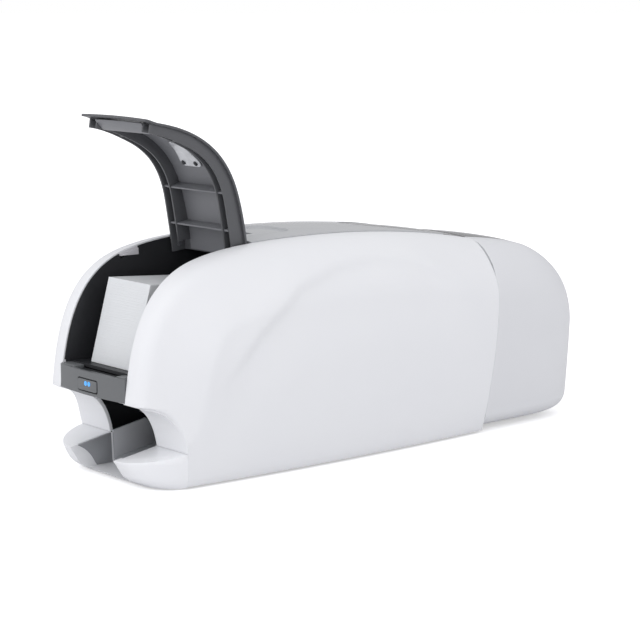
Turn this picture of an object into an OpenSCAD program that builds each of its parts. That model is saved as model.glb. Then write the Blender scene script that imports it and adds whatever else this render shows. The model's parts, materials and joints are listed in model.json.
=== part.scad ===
// Desktop ID card printer with a front card hopper, a pull-out card tray
// and a card flipping module at the rear.  Millimetres, +Z up, the front
// faces -Y, the origin is on the floor under the middle of the printer.

/* [Casing] */
// Front edge of the side panels, along the length
nose_y = -223; // [-226:1:-222]
// Length of the rear housing behind the seam
rear_l = 111; // [108:1:116]
// Half-width of the casing at its widest
half_width = 86; // [84:0.5:90]
// Loss of half-width 160 mm in front of or behind the widest place
belly_taper = 7; // [4:0.5:9]
// Half-width of the casing at the bottom edge
foot_half_width = 66.6; // [64:0.2:69]
// Loss of half-width at the bottom edge 139 mm from its widest place
foot_taper = 4.3; // [3:0.1:6]
// Where along the length the casing is widest
belly_y = -45; // [-60:1:-30]
// Height of the widest place of the casing
belly_z = 105; // [95:1:115]
// Half-width of the opening between the two side panels
rim_half = 42.5; // [42:0.1:44]
// Wall thickness of the side panels and the rear housing
wall = 2.6; // [2:0.1:3]
// Height of the bottom edge of the side panels above the floor
panel_lift = 2; // [1.5:0.1:3]
// Where the side panels end and the rear housing starts
seam_y = 115; // [112:0.5:118]
// Width of the seam in front of the rear housing
seam_gap = 0.6; // [0.4:0.1:1]
// Height of the rear housing's floor above the table
rear_lift = 4.5; // [3:0.5:8]

/* [Base and frames] */
// Thickness of the base plate
base_t = 3; // [2:0.1:4]
// Inner face of each side frame, from the middle
frame_in = 41.5; // [41:0.1:42]
// Thickness of each side frame
frame_t = 2.5; // [2:0.1:3]
// Radius of the rubber feet
foot_r = 8; // [6:0.5:10]

/* [Hopper lid] */
// Hinge axis of the hopper lid, behind the foot of the card stack
lid_in = 3.6; // [2:0.1:5]
// Hinge axis of the hopper lid, height
lid_z = 165; // [164:0.1:166]
// Angle through which the lid is open at rest
lid_open = 87.6; // [80:0.1:90]
// Half-width of the lid
lid_half = 41.1; // [40:0.1:41.2]
// Thickness of the lid's skin, flanges and ribs
lid_t = 1.8; // [1.6:0.1:2]
// Depth of the lid's side flanges below its outer surface, at the hinge
lid_flange = 13.2; // [12:0.1:13.4]
// Depth of the lid's side flanges at the front
lid_nose = 8; // [7:0.1:9]
// Half-spacing of the two long ribs under the lid
lid_rib_x = 29.5; // [29.5:0.1:33]

/* [Top cover] */
// Front edge of the top cover, behind the lid's hinge axis
cover_in = 8.5; // [8.3:0.1:11]
// Rear edge of the top cover at its sides
cover_back = 85.5; // [80:0.5:87]
// Rear edge of the top cover in the middle, where the insert points forward
cover_mid = 16; // [10:0.5:40]
// Thickness of the top cover
cover_t = 2.4; // [2:0.1:3]
// Hinge axis of the top cover, along the length
cover_hinge_y = 105; // [103:0.5:106]
// Hinge axis of the top cover, height
cover_hinge_z = 150; // [148:0.5:152]
// Width of the cover release button
release_w = 18; // [12:0.5:24]
// Length of the cover release button
release_l = 19.5; // [14:0.5:22]
// Travel of the cover release button
release_travel = 1.5; // [1:0.1:2]
// Middle of the release button, behind the front edge of the cover
release_in = 16; // [14:0.1:30]

/* [Cards] */
// Length of a card
card_l = 85.6; // [85.6:0.1:85.6]
// Width of a card
card_w = 53.98; // [53.98:0.01:53.98]
// Height of the card stack
stack_h = 62; // [10:0.5:62]
// How far the top of the full stack leans back
stack_lean = 17; // [17:0.5:18]
// Slope of the cards in the hopper, degrees down to the rear
card_slope = 3.6; // [3:0.1:4]
// Front lower edge of the card stack, behind the front edge of the panels
stack_in = 18; // [16:0.5:20]
// Front lower edge of the card stack, height
stack_z = 84.5; // [84:0.1:85]

/* [Card transport] */
// Height of the axes of the lower transport rollers
roller_z = 72; // [72:0.1:72.4]
// Radius of the transport rollers
roller_r = 6; // [5:0.1:6.2]
// Half-length of the rubber on the rollers
roller_half = 27; // [24:0.5:28]
// Radius of the roller shafts
shaft_r = 2.5; // [2:0.1:3]
// Radius of the pick roller under the card stack
pick_r = 9; // [8.5:0.1:9]
// Front transport rollers, behind the foot of the card stack
front_roller_in = 14.4; // [14.4:0.1:16]
// Cleaning roller, behind the front transport rollers
clean_in = 25; // [21:0.5:27]
// Place of the platen roller along the length
platen_y = -20; // [-24:0.5:-16]
// Place of the rear transport rollers along the length
rear_roller_y = 75; // [70:0.5:80]
// Radius of the card exit rollers
exit_r = 5; // [4:0.1:5.4]

/* [Drive] */
// Gear module
gear_m = 1; // [1:0.1:1]
// Teeth on the pick and front roller gears
roller_teeth = 20; // [20:1:20]
// Teeth on the large idler gear
idler_teeth = 40; // [40:1:40]
// Teeth on the exit roller gear
exit_teeth = 16; // [16:1:16]
// Radius of the belt pulleys on the rollers
pulley_r = 8; // [7:0.1:9]
// Radius of the motor's pulley
motor_pulley_r = 5; // [4:0.1:6]
// Place of the drive motor along the length
motor_y = 10; // [5:1:20]
// Height of the drive motor's axis
motor_z = 38; // [34:1:40]
// Radius of the drive motor
motor_r = 17; // [14:0.5:18]

/* [Ribbon] */
// Radius of the full ribbon supply roll
supply_r = 17; // [12:0.5:18]
// Radius of the ribbon take-up roll
takeup_r = 11; // [9:0.5:14]
// Place of the supply roll along the length
supply_y = 36; // [34:0.5:38]
// Place of the take-up roll along the length
takeup_y = -62; // [-64:0.5:-60]
// Height of both ribbon rolls
spool_z = 130; // [126:0.5:132]

/* [Card flipper] */
// Axis of the flipper drum, behind the seam
drum_in = 51; // [49:0.5:52]
// Length of the flipper drum's card guides
drum_l = 88; // [86:0.5:90]
// Teeth on the flipper drum's gear
drum_teeth = 48; // [44:1:50]
// Teeth on the flipper motor's pinion
pinion_teeth = 16; // [16:1:18]

/* [Front] */
// Bottom of the front bezel
bezel_z = 65.5; // [65:0.5:67]
// Height of the front bezel
bezel_h = 17.5; // [16:0.5:18]
// Width of the status button
button_w = 24; // [18:0.5:26]
// Height of the status button
button_h = 8.4; // [7:0.1:9]
// Travel of the status button
button_travel = 1; // [0.6:0.1:1.2]
// Half-width of the card exit and of the tray's trough
exit_half = 30.5; // [29:0.1:31]
// How far the card tray pulls out
tray_travel = 30; // [20:1:40]

/* [Clearances] */
// Gap between neighbouring fixed pieces
fit_gap = 0.3; // [0.2:0.05:0.4]
// Radial running clearance of a shaft in its bore
run_fit = 0.05; // [0.02:0.01:0.1]
// Gap between a pair of rollers, closed by the card
nip_gap = 0.5; // [0.4:0.1:0.6]

/* [Hidden] */
$fn = 48;

white = "#e0e1e5";
dark = "#26262b";
grey = "#7c7e82";
lid_grey = "#6d6f73";
steel = "#b8babd";
black_rubber = "#2b2b2d";

// ---- curves ----
function mix(a, b, t) = a + (b - a) * t;
function clamp01(t) = max(0, min(1, t));
function smooth01(t) = let (c = clamp01(t)) c * c * (3 - 2 * c);
function bez(p, t) = pow(1 - t, 3) * p[0] + 3 * pow(1 - t, 2) * t * p[1]
    + 3 * (1 - t) * t * t * p[2] + pow(t, 3) * p[3];

// Side view of the rim of the casing's opening: up the front, over the
// hopper and back along the top to the seam, as [y, z] control points
rim_front = [[nose_y, 62], [nose_y + 5, 110], [nose_y + 15.5, 152], [nose_y + 63, 164.5]];
rim_top = [[nose_y + 63, 164.5], [nose_y + 91, 172], [nose_y + 128, 173.6], [belly_y, 173.6]];
rim_rear = [[belly_y, 173.6], [10, 173.6], [70, 167.5], [seam_y, 158.5]];
function rim(s) = s < 1 ? bez(rim_front, s)
    : s < 2 ? bez(rim_top, s - 1) : bez(rim_rear, min(1, s - 2));
function rim_dir(s) = let (d = rim(min(3, s + 0.01)) - rim(max(0, s - 0.01))) d / norm(d);
// Point on the rim curve, moved a distance into the casing
function rim_in(s, depth) = rim(s) + depth * [rim_dir(s)[1], -rim_dir(s)[0]];

// Hollow above the card tray, from the rim down to the tray
cutout = [[nose_y + 7, 62], [nose_y + 20, 60], [nose_y + 32, 52], [nose_y + 36, 28]];
tray_seam_low = [nose_y + 40.5, panel_lift];

// ---- outer surface of the casing ----
function belly(y) = half_width - belly_taper * pow((y - belly_y) / 160, 2);
// Behind the seam the bottom edge tapers less
function foot(y) = let (along = y < seam_y ? y : mix(seam_y, y, 0.3))
    foot_half_width - foot_taper * pow((along - belly_y) / 139, 2);
// Half-width of the flat side at a place on it
function side(y, z) = let (k = pow(clamp01((belly_z - z) / belly_z), 1.6))
    mix(belly(y), foot(y), k);
// Half-width at a depth from the rim: a tight edge, then a long shoulder.
// k runs from 0 at the front to 1 on the top
function shoulder(y, z, depth, k) = let (
    // The edge softens towards the seam
    w = smooth01(y / seam_y),
    edge = mix(17, mix(16, 12, w), k),
    power = mix(3.2, 2.5, w),
    round = clamp01(depth / mix(11, mix(15, 20, w), k)),
    t = clamp01(depth / mix(50, 46, k)),
    rise = mix(min(t * 1.06, 1), sin(90 * t), k))
    rim_half + edge * pow(1 - pow(1 - round, power), 1 / power)
    + (side(y, z) - rim_half - edge) * rise;

// ---- grids of points made into closed shells ----
function unit(v) = v / max(norm(v), 0.0001);
function grid_normal(g, i, j) = let (n = len(g) - 1, m = len(g[0]) - 1)
    unit(cross(g[min(n, i + 1)][j] - g[max(0, i - 1)][j],
        g[i][min(m, j + 1)] - g[i][max(0, j - 1)]));
function flat(g) = [for (row = g) each row];

// Closed shell between an outer and an inner grid of the same size
module shell(outer, inner) {
    n = len(outer);
    m = len(outer[0]);
    back = n * m;
    top_faces = [for (i = [0:n - 2], j = [0:m - 2]) each [
        [i * m + j, (i + 1) * m + j + 1, i * m + j + 1],
        [i * m + j, (i + 1) * m + j, (i + 1) * m + j + 1]]];
    low_faces = [for (f = top_faces) [back + f[2], back + f[1], back + f[0]]];
    edge = concat([for (j = [0:m - 2]) j], [for (i = [0:n - 2]) i * m + m - 1],
        [for (j = [m - 1:-1:1]) (n - 1) * m + j], [for (i = [n - 1:-1:1]) i * m]);
    e = len(edge);
    rim_faces = [for (k = [0:e - 1]) each [
        [edge[k], edge[(k + 1) % e], back + edge[(k + 1) % e]],
        [edge[k], back + edge[(k + 1) % e], back + edge[k]]]];
    polyhedron(concat(flat(outer), flat(inner)), concat(top_faces, low_faces, rim_faces));
}

// ---- side panels ----
panel_columns = 30;
panel_rows = 13;
column_step = 3 / panel_columns;
// Lower end of the panel under each place on the rim
function panel_foot(s) = s < 0.6 ? bez(cutout, s / 0.6)
    : s < 0.8 ? mix(cutout[3], tray_seam_low, (s - 0.6) / 0.2)
    : [mix(tray_seam_low[0], seam_y, pow((s - 0.8) / 2.2, 1.05)), panel_lift];
// Distance of a place from the nearest place on the rim
rim_marks = [for (s = [0:0.05:3]) rim(s)];
function rim_distance(p) = min([for (r = rim_marks) norm(p - r)]);
function panel_point(s, t) = let (
    p = mix(rim(s), panel_foot(s), t),
    depth = rim_distance(p))
    [shoulder(p[0], p[1], depth, smooth01((s - 0.5) / 1.2)), p[0], p[1]];
function panel_grid() = [for (i = [0:panel_columns])
    [for (j = [0:panel_rows]) panel_point(i * column_step, pow(j / panel_rows, 2))]];
// The wall is set back along the surface, but its rim, seam and foot stay in plane
function panel_inner(g) = [for (i = [0:panel_columns]) [for (j = [0:panel_rows]) let (
    n0 = grid_normal(g, i, j),
    n1 = [j == 0 ? 0 : n0[0], i == panel_columns ? 0 : n0[1],
        j == panel_rows && i * column_step > 0.8 ? 0 : n0[2]])
    g[i][j] + wall * unit(n1)]];

module panel() {
    outer = panel_grid();
    shell(outer, panel_inner(outer));
}

module right_panel() color(white) panel();
module left_panel() color(white) mirror([1, 0, 0]) panel();

// ---- helpers for pieces that lie across the printer ----
// Side view outline carried from x0 over a width
module across(x0, width) translate([x0, 0, 0]) rotate([90, 0, 90]) linear_extrude(width) children();
// Shaft or disc along X
module rod(y, z, r, x0, x1) translate([x0, y, z]) rotate([0, 90, 0]) cylinder(r = r, h = x1 - x0);
// Both a piece and its mirror image
module pair() {
    children();
    mirror([1, 0, 0]) children();
}

// ---- places worked out from the sizes above ----
base_top = panel_lift + base_t;
rear_end = seam_y + rear_l;
base_front = nose_y + 44;
base_back = seam_y - 3;
frame_out = frame_in + frame_t;
frame_gap = wall + fit_gap + 0.2;
stack_y = nose_y + stack_in;
lid_y = stack_y + card_l + lid_in;
cover_front = lid_y + cover_in;
release_y = cover_front + release_in;
front_roller_y = stack_y + card_l + front_roller_in;
clean_y = front_roller_y + clean_in;
gear_reach = gear_m * (roller_teeth + idler_teeth) / 2;
pick_y = front_roller_y - 2 * gear_reach;
pick_z = stack_z - (pick_y - stack_y) * tan(card_slope) - fit_gap - pick_r;
nip_z = roller_z + 2 * roller_r + nip_gap;
idler_y = (pick_y + front_roller_y) / 2;
idler_z = (pick_z + roller_z) / 2;
exit_reach = gear_m * (exit_teeth + idler_teeth) / 2;
exit_y = idler_y - 15;
exit_z = idler_z - sqrt(exit_reach * exit_reach - 15 * 15);
exit_idler_z = exit_z - 2 * exit_r - nip_gap;
gear_x = frame_out + 1.5;
gear_w = 5;
pulley_x = frame_out + 1.5;
pulley_w = 7;
drum_y = seam_y + drum_in;
drum_z = roller_z + roller_r + 0.4;
stub_r = 4;
rod_places = [[nose_y + 28, 66], [-90, 20], [90, 25], [68, 146], [front_roller_y - 17, 60]];
rod_r = 3;
pin_r = 2;
screw_r = 1.8;
button_x = -1.5;
button_z = 72.8;

feet_x = 44;
feet_y = [nose_y + 65, seam_y - 23];
stud_r = 2.4;

// ---- outlines across the printer, as [y, z] points ----
// Band of the rim curve between two depths below it
function band(s0, s1, d0, d1) = concat(
    [for (k = [0:24]) rim_in(mix(s0, s1, k / 24), d0)],
    [for (k = [24:-1:0]) rim_in(mix(s0, s1, k / 24), d1)]);
// Flat rib square to the rim at one place
function rib(s, d0, d1, t) = let (a = rim_in(s, d0), b = rim_in(s, d1), u = rim_dir(s) * t / 2)
    [a - u, a + u, b + u, b - u];
// Hollow above the tray, moved up into the casing
function cut_in(t, depth) = let (d = unit(bez(cutout, min(1, t + 0.01))
    - bez(cutout, max(0, t - 0.01)))) bez(cutout, t) + depth * [-d[1], d[0]];

// ---- base and frames ----
module base_plate() color(dark) difference() {
    half = [for (k = [0:12]) let (y = mix(base_front, base_back, k / 12))
        [foot(y) - wall - fit_gap, y]];
    translate([0, 0, panel_lift]) linear_extrude(base_t)
        polygon(concat(half, [for (k = [12:-1:0]) [-half[k][0], half[k][1]]]));
    for (x = [-feet_x, feet_x], y = feet_y)
        translate([x, y, 0]) cylinder(r = stud_r + run_fit, h = 10);
}

module rubber_feet() color(black_rubber) for (x = [-feet_x, feet_x], y = feet_y)
    translate([x, y, 0]) {
        cylinder(r = foot_r, h = panel_lift);
        cylinder(r = stud_r, h = base_top - 0.5);
    }

catch_s = [0.935, 1.07];
catch_low = 4.6;
catch_z = 159.8;
module frame_outline() {
    cut = [for (k = [8:-1:0]) cut_in(k / 8, 2.7)];
    intersection() {
        difference() {
            polygon(concat([for (k = [1:40]) rim_in(0.06 + 2.94 * k / 40, frame_gap)],
                [[seam_y, base_top], [base_front, base_top]], cut));
            polygon(band(catch_s[0] - 0.005, catch_s[1] + 0.005, frame_gap - 1, catch_low + 0.3));
        }
        translate([nose_y - 3, 0]) square([base_back + 3 - nose_y, 200]);
    }
}

// Bores of the side frames, as [y, z, radius]
frame_bores = [[lid_y, lid_z, pin_r], [cover_hinge_y, cover_hinge_z, pin_r],
    [pick_y, pick_z, shaft_r], [front_roller_y, roller_z, shaft_r],
    [front_roller_y, nip_z, shaft_r], [clean_y, nip_z, shaft_r],
    [platen_y, roller_z, shaft_r], [rear_roller_y, roller_z, shaft_r],
    [rear_roller_y, nip_z, shaft_r], [exit_y, exit_z, shaft_r],
    [exit_y, exit_idler_z, shaft_r]];

module side_frame() difference() {
    union() {
        across(frame_in, frame_t) frame_outline();
        // Thin lip that lines the inside of the rim around the hopper
        for (s = [[0.17, catch_s[0] - 0.005], [catch_s[1] + 0.005, 1.4]])
            across(frame_in, rim_half - fit_gap - frame_in) polygon(band(s[0], s[1], 1, 6));
    }
    for (b = frame_bores) rod(b[0], b[1], b[2] + run_fit, frame_in - 1, frame_out + 1);
}

module right_frame() color(dark) side_frame();
// The left frame also holds the motor's shaft and the idler gear's stub
module left_frame() color(dark) mirror([1, 0, 0]) {
    difference() {
        side_frame();
        rod(motor_y, motor_z, shaft_r + 2, frame_in - 1, frame_out + 1);
    }
    rod(idler_y, idler_z, shaft_r, frame_out, gear_x + gear_w + 1);
}

module frame_tie_rods() color(steel) for (p = rod_places)
    rod(p[0], p[1], rod_r, -frame_in, frame_in);

// Two screws on each side hold the frames to the base
module panel_screws() color(steel) for (x = [-feet_x + 8, feet_x - 8], y = feet_y)
    translate([x, y, base_top]) cylinder(r = screw_r * 2, h = 1.6);

// ---- front ----
module fascia_cheek() {
    outer = [for (k = [0:8]) [for (j = [0:2]) let (p = cut_in(k / 8, 0.2),
        edge = shoulder(p[0], p[1], rim_distance(p), 0) - wall - 5 * fit_gap)
        [mix(exit_half + 0.3, edge, j / 2), p[0], p[1]]]];
    inner = [for (k = [0:8]) [for (j = [0:2]) let (p = cut_in(k / 8, 2.4))
        [outer[k][j][0], p[0], p[1]]]];
    shell([for (k = [8:-1:0]) outer[k]], [for (k = [8:-1:0]) inner[k]]);
}

module front_fascia() color(white) {
    pair() fascia_cheek();
    translate([-exit_half - 2, nose_y + 7.5, 62.6]) cube([2 * exit_half + 4, 8, 2.4]);
}

bezel_half = rim_half - fit_gap;
bezel_front = nose_y - 2.6;
bezel_bow = 3.4;
bezel_t = 2.4;
function bezel_arc(depth, half) = [for (k = [-10:10]) let (x = half * k / 10)
    [x, bezel_front + depth + bezel_bow * pow(x / bezel_half, 2)]];
function reversed(v) = [for (k = [len(v) - 1:-1:0]) v[k]];

module front_bezel() color(grey) difference() {
    union() {
        translate([0, 0, bezel_z]) linear_extrude(bezel_h)
            polygon(concat(bezel_arc(0, bezel_half), reversed(bezel_arc(bezel_t, bezel_half))));
        for (z = [bezel_z, bezel_z + bezel_h - 2])
            translate([0, 0, z]) linear_extrude(2)
                polygon(concat(bezel_arc(1, bezel_half - 1),
                    [[bezel_half - 1, nose_y + 9], [1 - bezel_half, nose_y + 9]]));
        // Raised tabs at both ends of the top edge
        for (x = [-bezel_half + 1.2, 31])
            translate([x, nose_y + 1, bezel_z + bezel_h - 1]) cube([10, 4, 2.4]);
    }
    translate([button_x - button_w / 2 - fit_gap, bezel_front - 4, button_z - button_h / 2 - fit_gap])
        cube([button_w + 2 * fit_gap, 8, button_h + 2 * fit_gap]);
}

light_x = [-3.1, 1.2];
light_w = 3.4;
light_z = button_z + 1.2;
button_front = bezel_front - 0.4;
button_back = nose_y + 4;

module status_button() color(grey) difference() {
    translate([button_x - button_w / 2, button_front, button_z - button_h / 2])
        cube([button_w, button_back - button_front, button_h]);
    for (x = light_x) translate([x - light_w / 2, button_front - 1, light_z - light_w / 2])
        cube([light_w, 3, light_w]);
}

module status_light() color("#4db4ff") for (x = light_x)
    translate([x - light_w / 2 + 0.1, button_front + 0.2, light_z - light_w / 2 + 0.1])
        cube([light_w - 0.2, 1.8, light_w - 0.2]);

// Circuit board on two posts behind the bezel, with the switch the button presses
module button_board() color("#2e5b3a") {
    translate([-18, nose_y + 6.6, bezel_z + 2.6]) cube([36, 1.4, 12]);
    for (x = [-16, 15]) translate([x - 1, nose_y + 0.6, button_z]) cube([2, 6, 3]);
    translate([button_x - 3, nose_y + 5.4, button_z - 3]) cube([6, 1.4, 6]);
}

// ---- hopper lid, drawn shut and then swung open ----
module lid_pose() translate([0, lid_y, lid_z]) rotate([-lid_open, 0, 0])
    translate([0, -lid_y, -lid_z]) children();
lid_front_s = 0.17;
lid_back_s = 1.5;
lid_ribs = [0.97, 1.28];
lid_set = 2;
// Depth of the flanges and ribs at a place along the lid
function lid_depth(s) = lid_nose + 2.4 * smooth01((s - 0.2) / 0.3)
    + (lid_flange - lid_nose - 2.4) * smooth01((s - 0.7) / 0.6);
function lid_band(s0, s1, d0, less) = concat(
    [for (k = [0:24]) rim_in(mix(s0, s1, k / 24), d0)],
    [for (k = [24:-1:0]) let (s = mix(s0, s1, k / 24)) rim_in(s, lid_depth(s) - less)]);

module hopper_lid() color(lid_grey) lid_pose() {
    across(-lid_half, 2 * lid_half) polygon(band(lid_front_s, lid_back_s, 0, lid_t));
    across(lid_set - lid_half + 0.5, 2 * (lid_half - lid_set) - 1) {
        for (s = lid_ribs) polygon(rib(s, 0.5, lid_depth(s) - 0.5, 1.6));
        polygon(rib(lid_front_s + 0.095, 0.5, lid_nose - 0.9, 1.6));
    }
    pair() {
        difference() {
            across(lid_half - lid_set - lid_t, lid_t)
                polygon(lid_band(lid_front_s + 0.035, lid_back_s, 0.5, 0));
            rod(lid_y, lid_z, pin_r, lid_half - lid_set - 2 * lid_t, lid_half);
        }
        across(lid_rib_x - 0.9, 1.8) polygon(lid_band(lid_front_s + 0.035, 1.4, 0.5, 0.3));
    }
}

module lid_hinge_pins() color(steel) lid_pose() pair()
    rod(lid_y, lid_z, pin_r, lid_half - 4, frame_out - 0.3);

window_s = [0.6, 0.85];
window_x = -4.5;
window_half = 12;
module lid_window() color("#c9ccd0") lid_pose()
    across(window_x - window_half, 2 * window_half)
        polygon(band(window_s[0], window_s[1], lid_t + 0.25, lid_t + 1.25));
module lid_window_screws() color(steel) lid_pose() for (x = [-1, 1])
    across(window_x + x * (window_half - 3.7) - 1.5, 3)
        polygon(rib(window_s[1] - 0.035, lid_t + 1.4, lid_t + 2, 3));

// ---- card hopper ----
tan_slope = tan(card_slope);
lean = stack_lean / stack_h;
stack_back_y = stack_y + card_l * cos(card_slope);
stack_back_z = stack_z - card_l * sin(card_slope);
// Rear face of the card stack at a height
function stack_back(z) = stack_back_y + lean * (z - stack_back_z);
floor_front = nose_y + 9.5;
floor_back = stack_y + card_l + 0.4;
floor_t = 2.4;
function floor_top(y) = stack_z - (y - stack_y) * tan_slope - fit_gap;

module card_stack() color("#dadce0") across(-card_w / 2, card_w)
    polygon([[stack_y, stack_z], [stack_back_y, stack_back_z],
        [stack_back_y + stack_lean, stack_back_z + stack_h],
        [stack_y + stack_lean, stack_z + stack_h]]);

module hopper_floor() color(dark) difference() {
    across(-frame_in + fit_gap, 2 * (frame_in - fit_gap))
        polygon([[floor_front, floor_top(floor_front) - floor_t],
            [floor_back, floor_top(floor_back) - floor_t], [floor_back, floor_top(floor_back)],
            [floor_front, floor_top(floor_front)]]);
    // Window for the pick roller
    translate([-17, pick_y - 12, 70]) cube([34, 24, 20]);
}

wall_low = 88;
wall_high = 150;
wall_off = 0.8;
wall_t = 2.2;
module hopper_back_wall() color(dark) {
    across(-frame_in + fit_gap, 2 * (frame_in - fit_gap))
        polygon([[stack_back(wall_low) + wall_off, wall_low],
            [stack_back(wall_low) + wall_off + wall_t, wall_low],
            [stack_back(wall_high) + wall_off + wall_t, wall_high],
            [stack_back(wall_high) + wall_off, wall_high]]);
    // Side guides that keep the cards in line
    pair() across(card_w / 2 + 0.6, 2) polygon([[stack_back(wall_low) - 14, wall_low],
        [stack_back(wall_low) + wall_off + 1, wall_low],
        [stack_back(wall_high) + wall_off + 1, wall_high],
        [stack_back(wall_high) - 14, wall_high]]);
}

// Gate that lets one card at a time under the back wall
module card_gate() color(steel) across(-14, 28)
    polygon([[stack_back(80.2) + wall_off, 80.2], [stack_back(80.2) + wall_off + 1.6, 80.2],
        [stack_back(wall_low) + wall_off + 1.6, wall_low - 0.1],
        [stack_back(wall_low) + wall_off, wall_low - 0.1]]);

// Clips in the frames that hold the lid shut
module lid_catches() color("#a09fa3") pair() {
    across(frame_in - 0.2, rim_half - fit_gap - frame_in + 0.2)
        polygon(band(catch_s[0], catch_s[1], 0.6, catch_low));
    across(frame_in, frame_t) polygon(band(catch_s[0], catch_s[1], frame_gap + 0.2, catch_low));
    // Tongue with a level lower edge on the inner face of the frame
    across(frame_in - 1, 0.95) polygon([rim_in(catch_s[0] + 0.01, lid_t + 0.5),
        rim_in(catch_s[1] - 0.01, lid_t + 0.6), [rim(catch_s[1])[0] - 0.7, catch_z],
        [rim(catch_s[0])[0] + 0.9, catch_z]]);
}

// ---- rollers and drive ----
module roller(y, z, r, half) {
    rod(y, z, r, -half, half);
    rod(y, z, shaft_r, -frame_out + 0.1, frame_out - 0.1);
}

// Half of a tooth's angle at a radius, for a 25 degree involute tooth
function inv(a) = tan(a) * 180 / PI - a;
function tooth_half(teeth, r) = let (rp = gear_m * teeth / 2, rb = rp * cos(25))
    90 / teeth - 5 / rp + inv(25) - (r > rb ? inv(acos(rb / r)) : 0);
module gear_outline(teeth) {
    rp = gear_m * teeth / 2;
    marks = [rp - 1.15 * gear_m, rp - 0.55 * gear_m, rp, rp + 0.45 * gear_m, rp + 0.85 * gear_m];
    polygon([for (k = [0:teeth - 1]) let (c = 360 * k / teeth) each concat(
        [for (r = marks) let (a = c - tooth_half(teeth, r)) r * [cos(a), sin(a)]],
        [for (r = reversed(marks)) let (a = c + tooth_half(teeth, r)) r * [cos(a), sin(a)]])]);
}
module gear(y, z, teeth, turn, x0, width) translate([x0, y, z]) rotate([90, 0, 90])
    rotate(turn) linear_extrude(width) gear_outline(teeth);
// Turn of a gear that meshes with another, from the direction between their axes
function meshed(turn, teeth, dir, next_teeth) = dir + 180 + (dir - turn) * teeth / next_teeth
    - 180 / next_teeth;
idler_turn = 0;
pick_turn = meshed(idler_turn, idler_teeth, atan2(pick_z - idler_z, pick_y - idler_y), roller_teeth);
front_turn = meshed(idler_turn, idler_teeth,
    atan2(roller_z - idler_z, front_roller_y - idler_y), roller_teeth);
exit_turn = meshed(idler_turn, idler_teeth, atan2(exit_z - idler_z, exit_y - idler_y), exit_teeth);

// Gear or pulley on the left end of a shaft, with the shaft that carries it
module left_gear(y, z, teeth, turn) mirror([1, 0, 0]) {
    rod(y, z, shaft_r, frame_out - 1, gear_x + gear_w);
    gear(y, z, teeth, turn, gear_x, gear_w);
}
belt_x = gear_x + gear_w + 2;
flange = 0.8;
belt_t = 1.2;
module left_pulley(y, z, r) mirror([1, 0, 0]) {
    rod(y, z, r, belt_x, belt_x + pulley_w);
    for (x = [belt_x, belt_x + pulley_w - flange])
        rod(y, z, r + belt_t, x, x + flange);
    rod(y, z, shaft_r, frame_out - 1, belt_x + pulley_w);
}

module pick_roller() color(black_rubber) {
    roller(pick_y, pick_z, pick_r, 14);
    left_gear(pick_y, pick_z, roller_teeth, pick_turn);
}
module front_roller() color(black_rubber) {
    roller(front_roller_y, roller_z, roller_r, roller_half);
    left_gear(front_roller_y, roller_z, roller_teeth, front_turn);
    left_pulley(front_roller_y, roller_z, pulley_r);
}
module front_idler() color(steel) roller(front_roller_y, nip_z, roller_r, roller_half);
module cleaning_roller() color("#5f8fb8") roller(clean_y, nip_z, roller_r, roller_half);
module platen_roller() color(black_rubber) {
    roller(platen_y, roller_z, roller_r, roller_half);
    left_pulley(platen_y, roller_z, pulley_r);
}
module rear_roller() color(black_rubber) {
    roller(rear_roller_y, roller_z, roller_r, roller_half);
    left_pulley(rear_roller_y, roller_z, pulley_r);
}
module rear_idler() color(steel) roller(rear_roller_y, nip_z, roller_r, roller_half);
module exit_roller() color(black_rubber) {
    roller(exit_y, exit_z, exit_r, 24);
    left_gear(exit_y, exit_z, exit_teeth, exit_turn);
}
module exit_idler() color(steel) roller(exit_y, exit_idler_z, exit_r, 24);

module idler_gear() color("#d8d6cc") mirror([1, 0, 0]) difference() {
    gear(idler_y, idler_z, idler_teeth, idler_turn, gear_x, gear_w);
    rod(idler_y, idler_z, shaft_r + run_fit, gear_x - 1, gear_x + gear_w + 1);
}

module belt_loop(grow) hull() {
    for (y = [front_roller_y, rear_roller_y])
        translate([y, roller_z]) circle(pulley_r + grow);
    translate([motor_y, motor_z]) circle(motor_pulley_r + grow);
}
module drive_belt() color(black_rubber) mirror([1, 0, 0])
    across(belt_x + flange + fit_gap, pulley_w - 2 * flange - 2 * fit_gap) difference() {
        belt_loop(fit_gap + belt_t);
        belt_loop(fit_gap);
    }

motor_l = 28;
module motor_pulley() color(steel) mirror([1, 0, 0]) {
    rod(motor_y, motor_z, motor_pulley_r, belt_x, belt_x + pulley_w);
    rod(motor_y, motor_z, shaft_r, frame_in - 8, belt_x + 1);
}
module drive_motor() color("#3a3b3f") mirror([1, 0, 0]) difference() {
    rod(motor_y, motor_z, motor_r, frame_in - motor_l, frame_in);
    rod(motor_y, motor_z, shaft_r + run_fit, frame_in - 8.4, frame_in + 1);
}

// ---- card exit and tray ----
chute_front = nose_y + 37.4;
chute_back = exit_y + 4;
chute_low = 7.2;
chute_rise = 7.6;
lining_t = 2;
module exit_chute() color(grey) {
    across(-exit_half, 2 * exit_half) polygon([[chute_front, chute_low - lining_t],
        [chute_back, chute_low + chute_rise - lining_t], [chute_back, chute_low + chute_rise],
        [chute_front, chute_low]]);
    pair() across(exit_half - lining_t, lining_t) polygon([[chute_front, chute_low - 1],
        [chute_back, chute_low + chute_rise - 1], [chute_back, 30], [chute_back - 10, 34.8],
        [chute_front, 29]]);
    for (x = [-20, 20]) translate([x, chute_back - 4, base_top]) cube([3, 4, 8]);
}

tray_z = 1.2;
tray_front = nose_y - 1;
tray_back = nose_y + 40;
tray_half = 61;
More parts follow.
